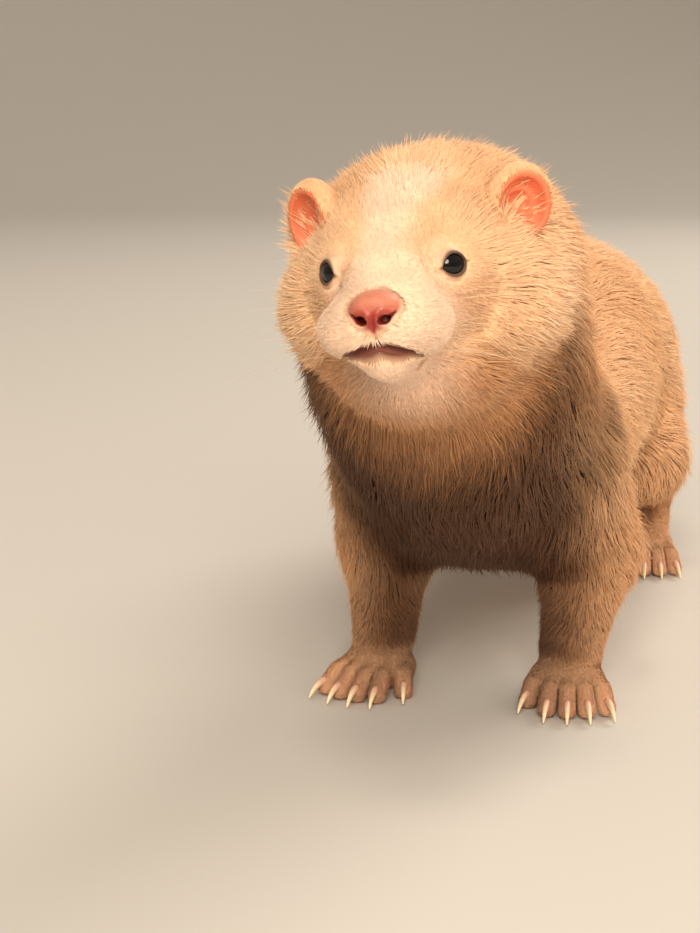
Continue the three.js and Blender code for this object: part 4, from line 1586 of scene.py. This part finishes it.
def closed_rings(rings, around):
    """Triangles of a closed skin over rings of points, with one point before them and one after."""
    j = np.arange(around)
    ahead = (j + 1) % around
    last = rings * around + 1
    faces = [np.stack([0 * j, 1 + j, 1 + ahead], 1)]
    for i in range(rings - 1):
        a, b = 1 + i * around, 1 + (i + 1) * around
        faces += [np.stack([a + j, b + j, b + ahead], 1), np.stack([a + j, b + ahead, a + ahead], 1)]
    end = 1 + (rings - 1) * around
    faces.append(np.stack([0 * j + last, end + ahead, end + j], 1))
    return np.vstack(faces)


def make_eyes():
    finish = eye_material()
    for name, side in SIDES.items():
        points, turn, faces = ball(EYE_RADIUS, gaze_axes(side))
        points = from_head(points + EYES[side])
        made = piece(f"eyeball_{name}", points, faces, finish, "eye", {"edge": smooth(0.2, 0.34, turn)})
        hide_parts(f"eye_{name}")


def strand(path, radii, around, flat=1.0):
    """A closed, tapering rod along a path: its points, faces and each point's share of the way."""
    path = np.asarray(path, float)
    way = unit(np.gradient(path, axis=0))
    level = unit(np.cross(way, at(0, 0, 1)) + 1e-9)
    over = np.cross(level, way)
    turn = full_turn(around)
    across = flat * np.cos(turn)[:, None] * level[:, None, :]
    above = np.sin(turn)[:, None] * over[:, None, :]
    rings = path[:, None, :] + radii[:, None, None] * (across + above)
    start, end = path[0] - way[0] * radii[0] * 0.5, path[-1] + way[-1] * radii[-1]
    points = np.vstack([start[None], rings.reshape(-1, 3), end[None]])
    share = np.concatenate([[0], np.repeat(np.arange(len(path)) / (len(path) - 1), around), [1]])
    return points, closed_rings(len(path), around), share


CLAW_RADIUS = 1.25
CLAW_FLAT = 0.8
CLAW_STEPS = 12


def make_claws():
    finish = claw_material()
    t = np.linspace(0, 0.985, CLAW_STEPS)[:, None]
    for part in limbs:
        for number, (start, _, tip) in enumerate(part["toes"]):
            away = unit((tip - start) * (1, 1, 0))
            base, bend, point = (
                at(*(tip + away * (0.8 + far))[:2], z)
                for far, z in ((0, 4.4), (CLAW_LENGTH * 0.6, 4.5), (CLAW_LENGTH, 0.9)))
            path = base * (1 - t) ** 2 + bend * 2 * t * (1 - t) + point * t * t
            radii = CLAW_RADIUS * np.sqrt(1 - 0.97 * t[:, 0])
            points, faces, share = strand(path, radii, 12, CLAW_FLAT)
            name = f"{part['name']}_{number + 1}"
            made = piece(f"horn_{name}", points, faces, finish, "claw", {"share": share})
            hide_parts(f"claw_{name}")


WHISKER_ROOTS = [(6.5, -20.5, -9.8), (8.8, -17.5, -9), (10.8, -14, -8.6), (7, -20.5, -12.2), (9.8, -17, -12),
                 (12, -13, -11.8), (7.5, -19, -14.6), (10.5, -15.5, -14.6), (13, -10.5, -14.4)]
BROW_ROOTS = [(8.5, -5, 7.5), (10.5, -2.5, 8.5)]
WHISKER_RADIUS = 0.068
WHISKER_LENGTHS = (24, 38)
BROW_LENGTHS = (15, 20)
WHISKER_STEPS = 12


def make_whiskers():
    finish = whisker_material()
    rng = np.random.default_rng(SEED + 3)
    for name, side in SIDES.items():
        points, faces, shares = [], [], []
        total = 0
        for rank, (x, y, z) in enumerate(WHISKER_ROOTS + BROW_ROOTS):
            brow = rank >= len(WHISKER_ROOTS)
            root = on_head(side * x, y, z)
            for _ in range(5):
                root = settle(root[None], skin)[0]
            length = rng.uniform(*(BROW_LENGTHS if brow else WHISKER_LENGTHS))
            out = at(0.5, 0.1, 0.9) if brow else at(1, 0.25 + 0.045 * (y + 20), 0.2 + 0.06 * (z + 12))
            way = unit(at(side, 1, 1) * (out + rng.normal(0, 0.07, 3)))
            t = np.linspace(0, 1, WHISKER_STEPS)[:, None]
            droop = at(0, 0.22, -0.3) * t ** 2
            path = root - way * 0.8 + length * (way * t + droop * (1 - 0.4 * brow))
            own, own_faces, share = strand(path, WHISKER_RADIUS * (1 - 0.82 * t[:, 0]), 6)
            points.append(own)
            faces.append(own_faces + total)
            shares.append(share)
            total += len(own)
        piece(f"whiskers_{name}", np.vstack(points), np.vstack(faces), finish, None,
              {"share": np.concatenate(shares)})


# Stage

FLOOR_FLAT = 2.2  # metres, the radius of the flat part
FLOOR_RISE = 1.4
FLOOR_SIDES = 128


def make_floor():
    """A round pale floor that curves up at its rim."""
    around = FLOOR_SIDES
    rings = [(FLOOR_FLAT * share, 0.0) for share in (0.02, 0.1, 0.3, 0.6, 1.0)]
    bend = np.linspace(0, math.pi / 2, 17)[1:]
    rings += [(FLOOR_FLAT + FLOOR_RISE * math.sin(a), FLOOR_RISE * (1 - math.cos(a))) for a in bend]
    turn = full_turn(around)
    points = np.vstack([np.stack([r * np.cos(turn), r * np.sin(turn), 0 * turn + z], 1) for r, z in rings])
    points = np.vstack([points, (0, 0, 0)])
    j = np.arange(around)
    ahead = (j + 1) % around
    quads = np.vstack([
        np.stack([i * around + j, (i + 1) * around + j, (i + 1) * around + ahead, i * around + ahead], 1)
        for i in range(len(rings) - 1)])
    triangles = np.vstack([in_triangles(quads), np.stack([0 * j + len(points) - 1, j, ahead], 1)])
    mesh = mesh_from("floor", points, triangles)
    mesh.materials.append(floor_material())
    floor = new_object("floor", mesh)


LAMPS = [  # name, place and width in metres, watts, colour
    ("key", (0.3, -1.6, 0.95), 0.8, 25, (1.0, 0.87, 0.72)),
    ("ceiling", (-0.05, -0.75, 1.85), 0.4, 7, (1.0, 0.87, 0.72)),
    ("fill", (1.4, -1.2, 0.6), 1.4, 10, (1.0, 0.82, 0.64)),
    ("back", (0.9, 1.5, 1.5), 1.4, 34, (1.0, 0.9, 0.78)),
]


def make_lights():
    head = Vector((SHIFT + at(0, -EYE_FORWARD, EYE_HEIGHT)) * MM)
    for name, place, size, power, tint in LAMPS:
        lamp = bpy.data.lights.new(name, "AREA")
        lamp.shape = "DISK"
        lamp.size = size
        lamp.energy = power
        lamp.color = tint
        made = new_object(name, lamp)
        made.location = place
        target = Vector((0, 0, 0.1)) if name == "back" else head
        made.rotation_euler = (target - Vector(place)).to_track_quat("-Z", "Y").to_euler()
        made.visible_camera = False
        made.visible_glossy = name != "fill"
    world = bpy.data.worlds.new("studio")
    bpy.context.scene.world = world
    world.use_nodes = True
    sky = world.node_tree.nodes["Background"]
    sky.inputs["Color"].default_value = (1.0, 0.86, 0.7, 1)
    sky.inputs["Strength"].default_value = 0.42


# Camera: as the photograph was taken, with the eyes where it has them

PHOTO_WIDTH, PHOTO_HEIGHT = 700, 933
EYES_AT = (392, 269)  # the middle between the eyes in the photograph, in pixels
MM_PER_PIXEL = 0.22  # at the eyes
CAMERA_DISTANCE = 420
CAMERA_AZIMUTH = 13
CAMERA_ELEVATION = 5
SENSOR = 36


def make_camera():
    eyes = (SHIFT + at(0, -EYE_AHEAD - EYE_FORWARD, EYE_HEIGHT)) * MM
    back = direction(CAMERA_AZIMUTH, CAMERA_ELEVATION)
    right = direction(CAMERA_AZIMUTH + 90, 0)
    up = np.cross(back, right)
    focal = CAMERA_DISTANCE / MM_PER_PIXEL
    x, y = (EYES_AT[0] - PHOTO_WIDTH / 2) / focal, (PHOTO_HEIGHT / 2 - EYES_AT[1]) / focal
    aim = unit(-back - right * x - up * y)
    side = unit(np.cross(aim, at(0, 0, 1)))
    top = np.cross(side, aim)
    place = eyes + back * CAMERA_DISTANCE * MM
    lens = bpy.data.cameras.new("camera")
    lens.sensor_width = SENSOR
    lens.lens = focal / PHOTO_HEIGHT * SENSOR
    lens.clip_start, lens.clip_end = 0.01, 30
    camera = new_object("camera", lens)
    rows = [(side[i], top[i], -aim[i], place[i]) for i in range(3)]
    camera.matrix_world = Matrix((*rows, (0, 0, 0, 1)))
    bpy.context.scene.camera = camera


mouth = mouth_line()
skin_parts = make_skin(mouth)
make_coat(skin_parts, mouth)
make_eyes()
make_claws()
make_whiskers()
make_floor()
make_lights()
make_camera()
bpy.context.scene.view_settings.view_transform = "Standard"
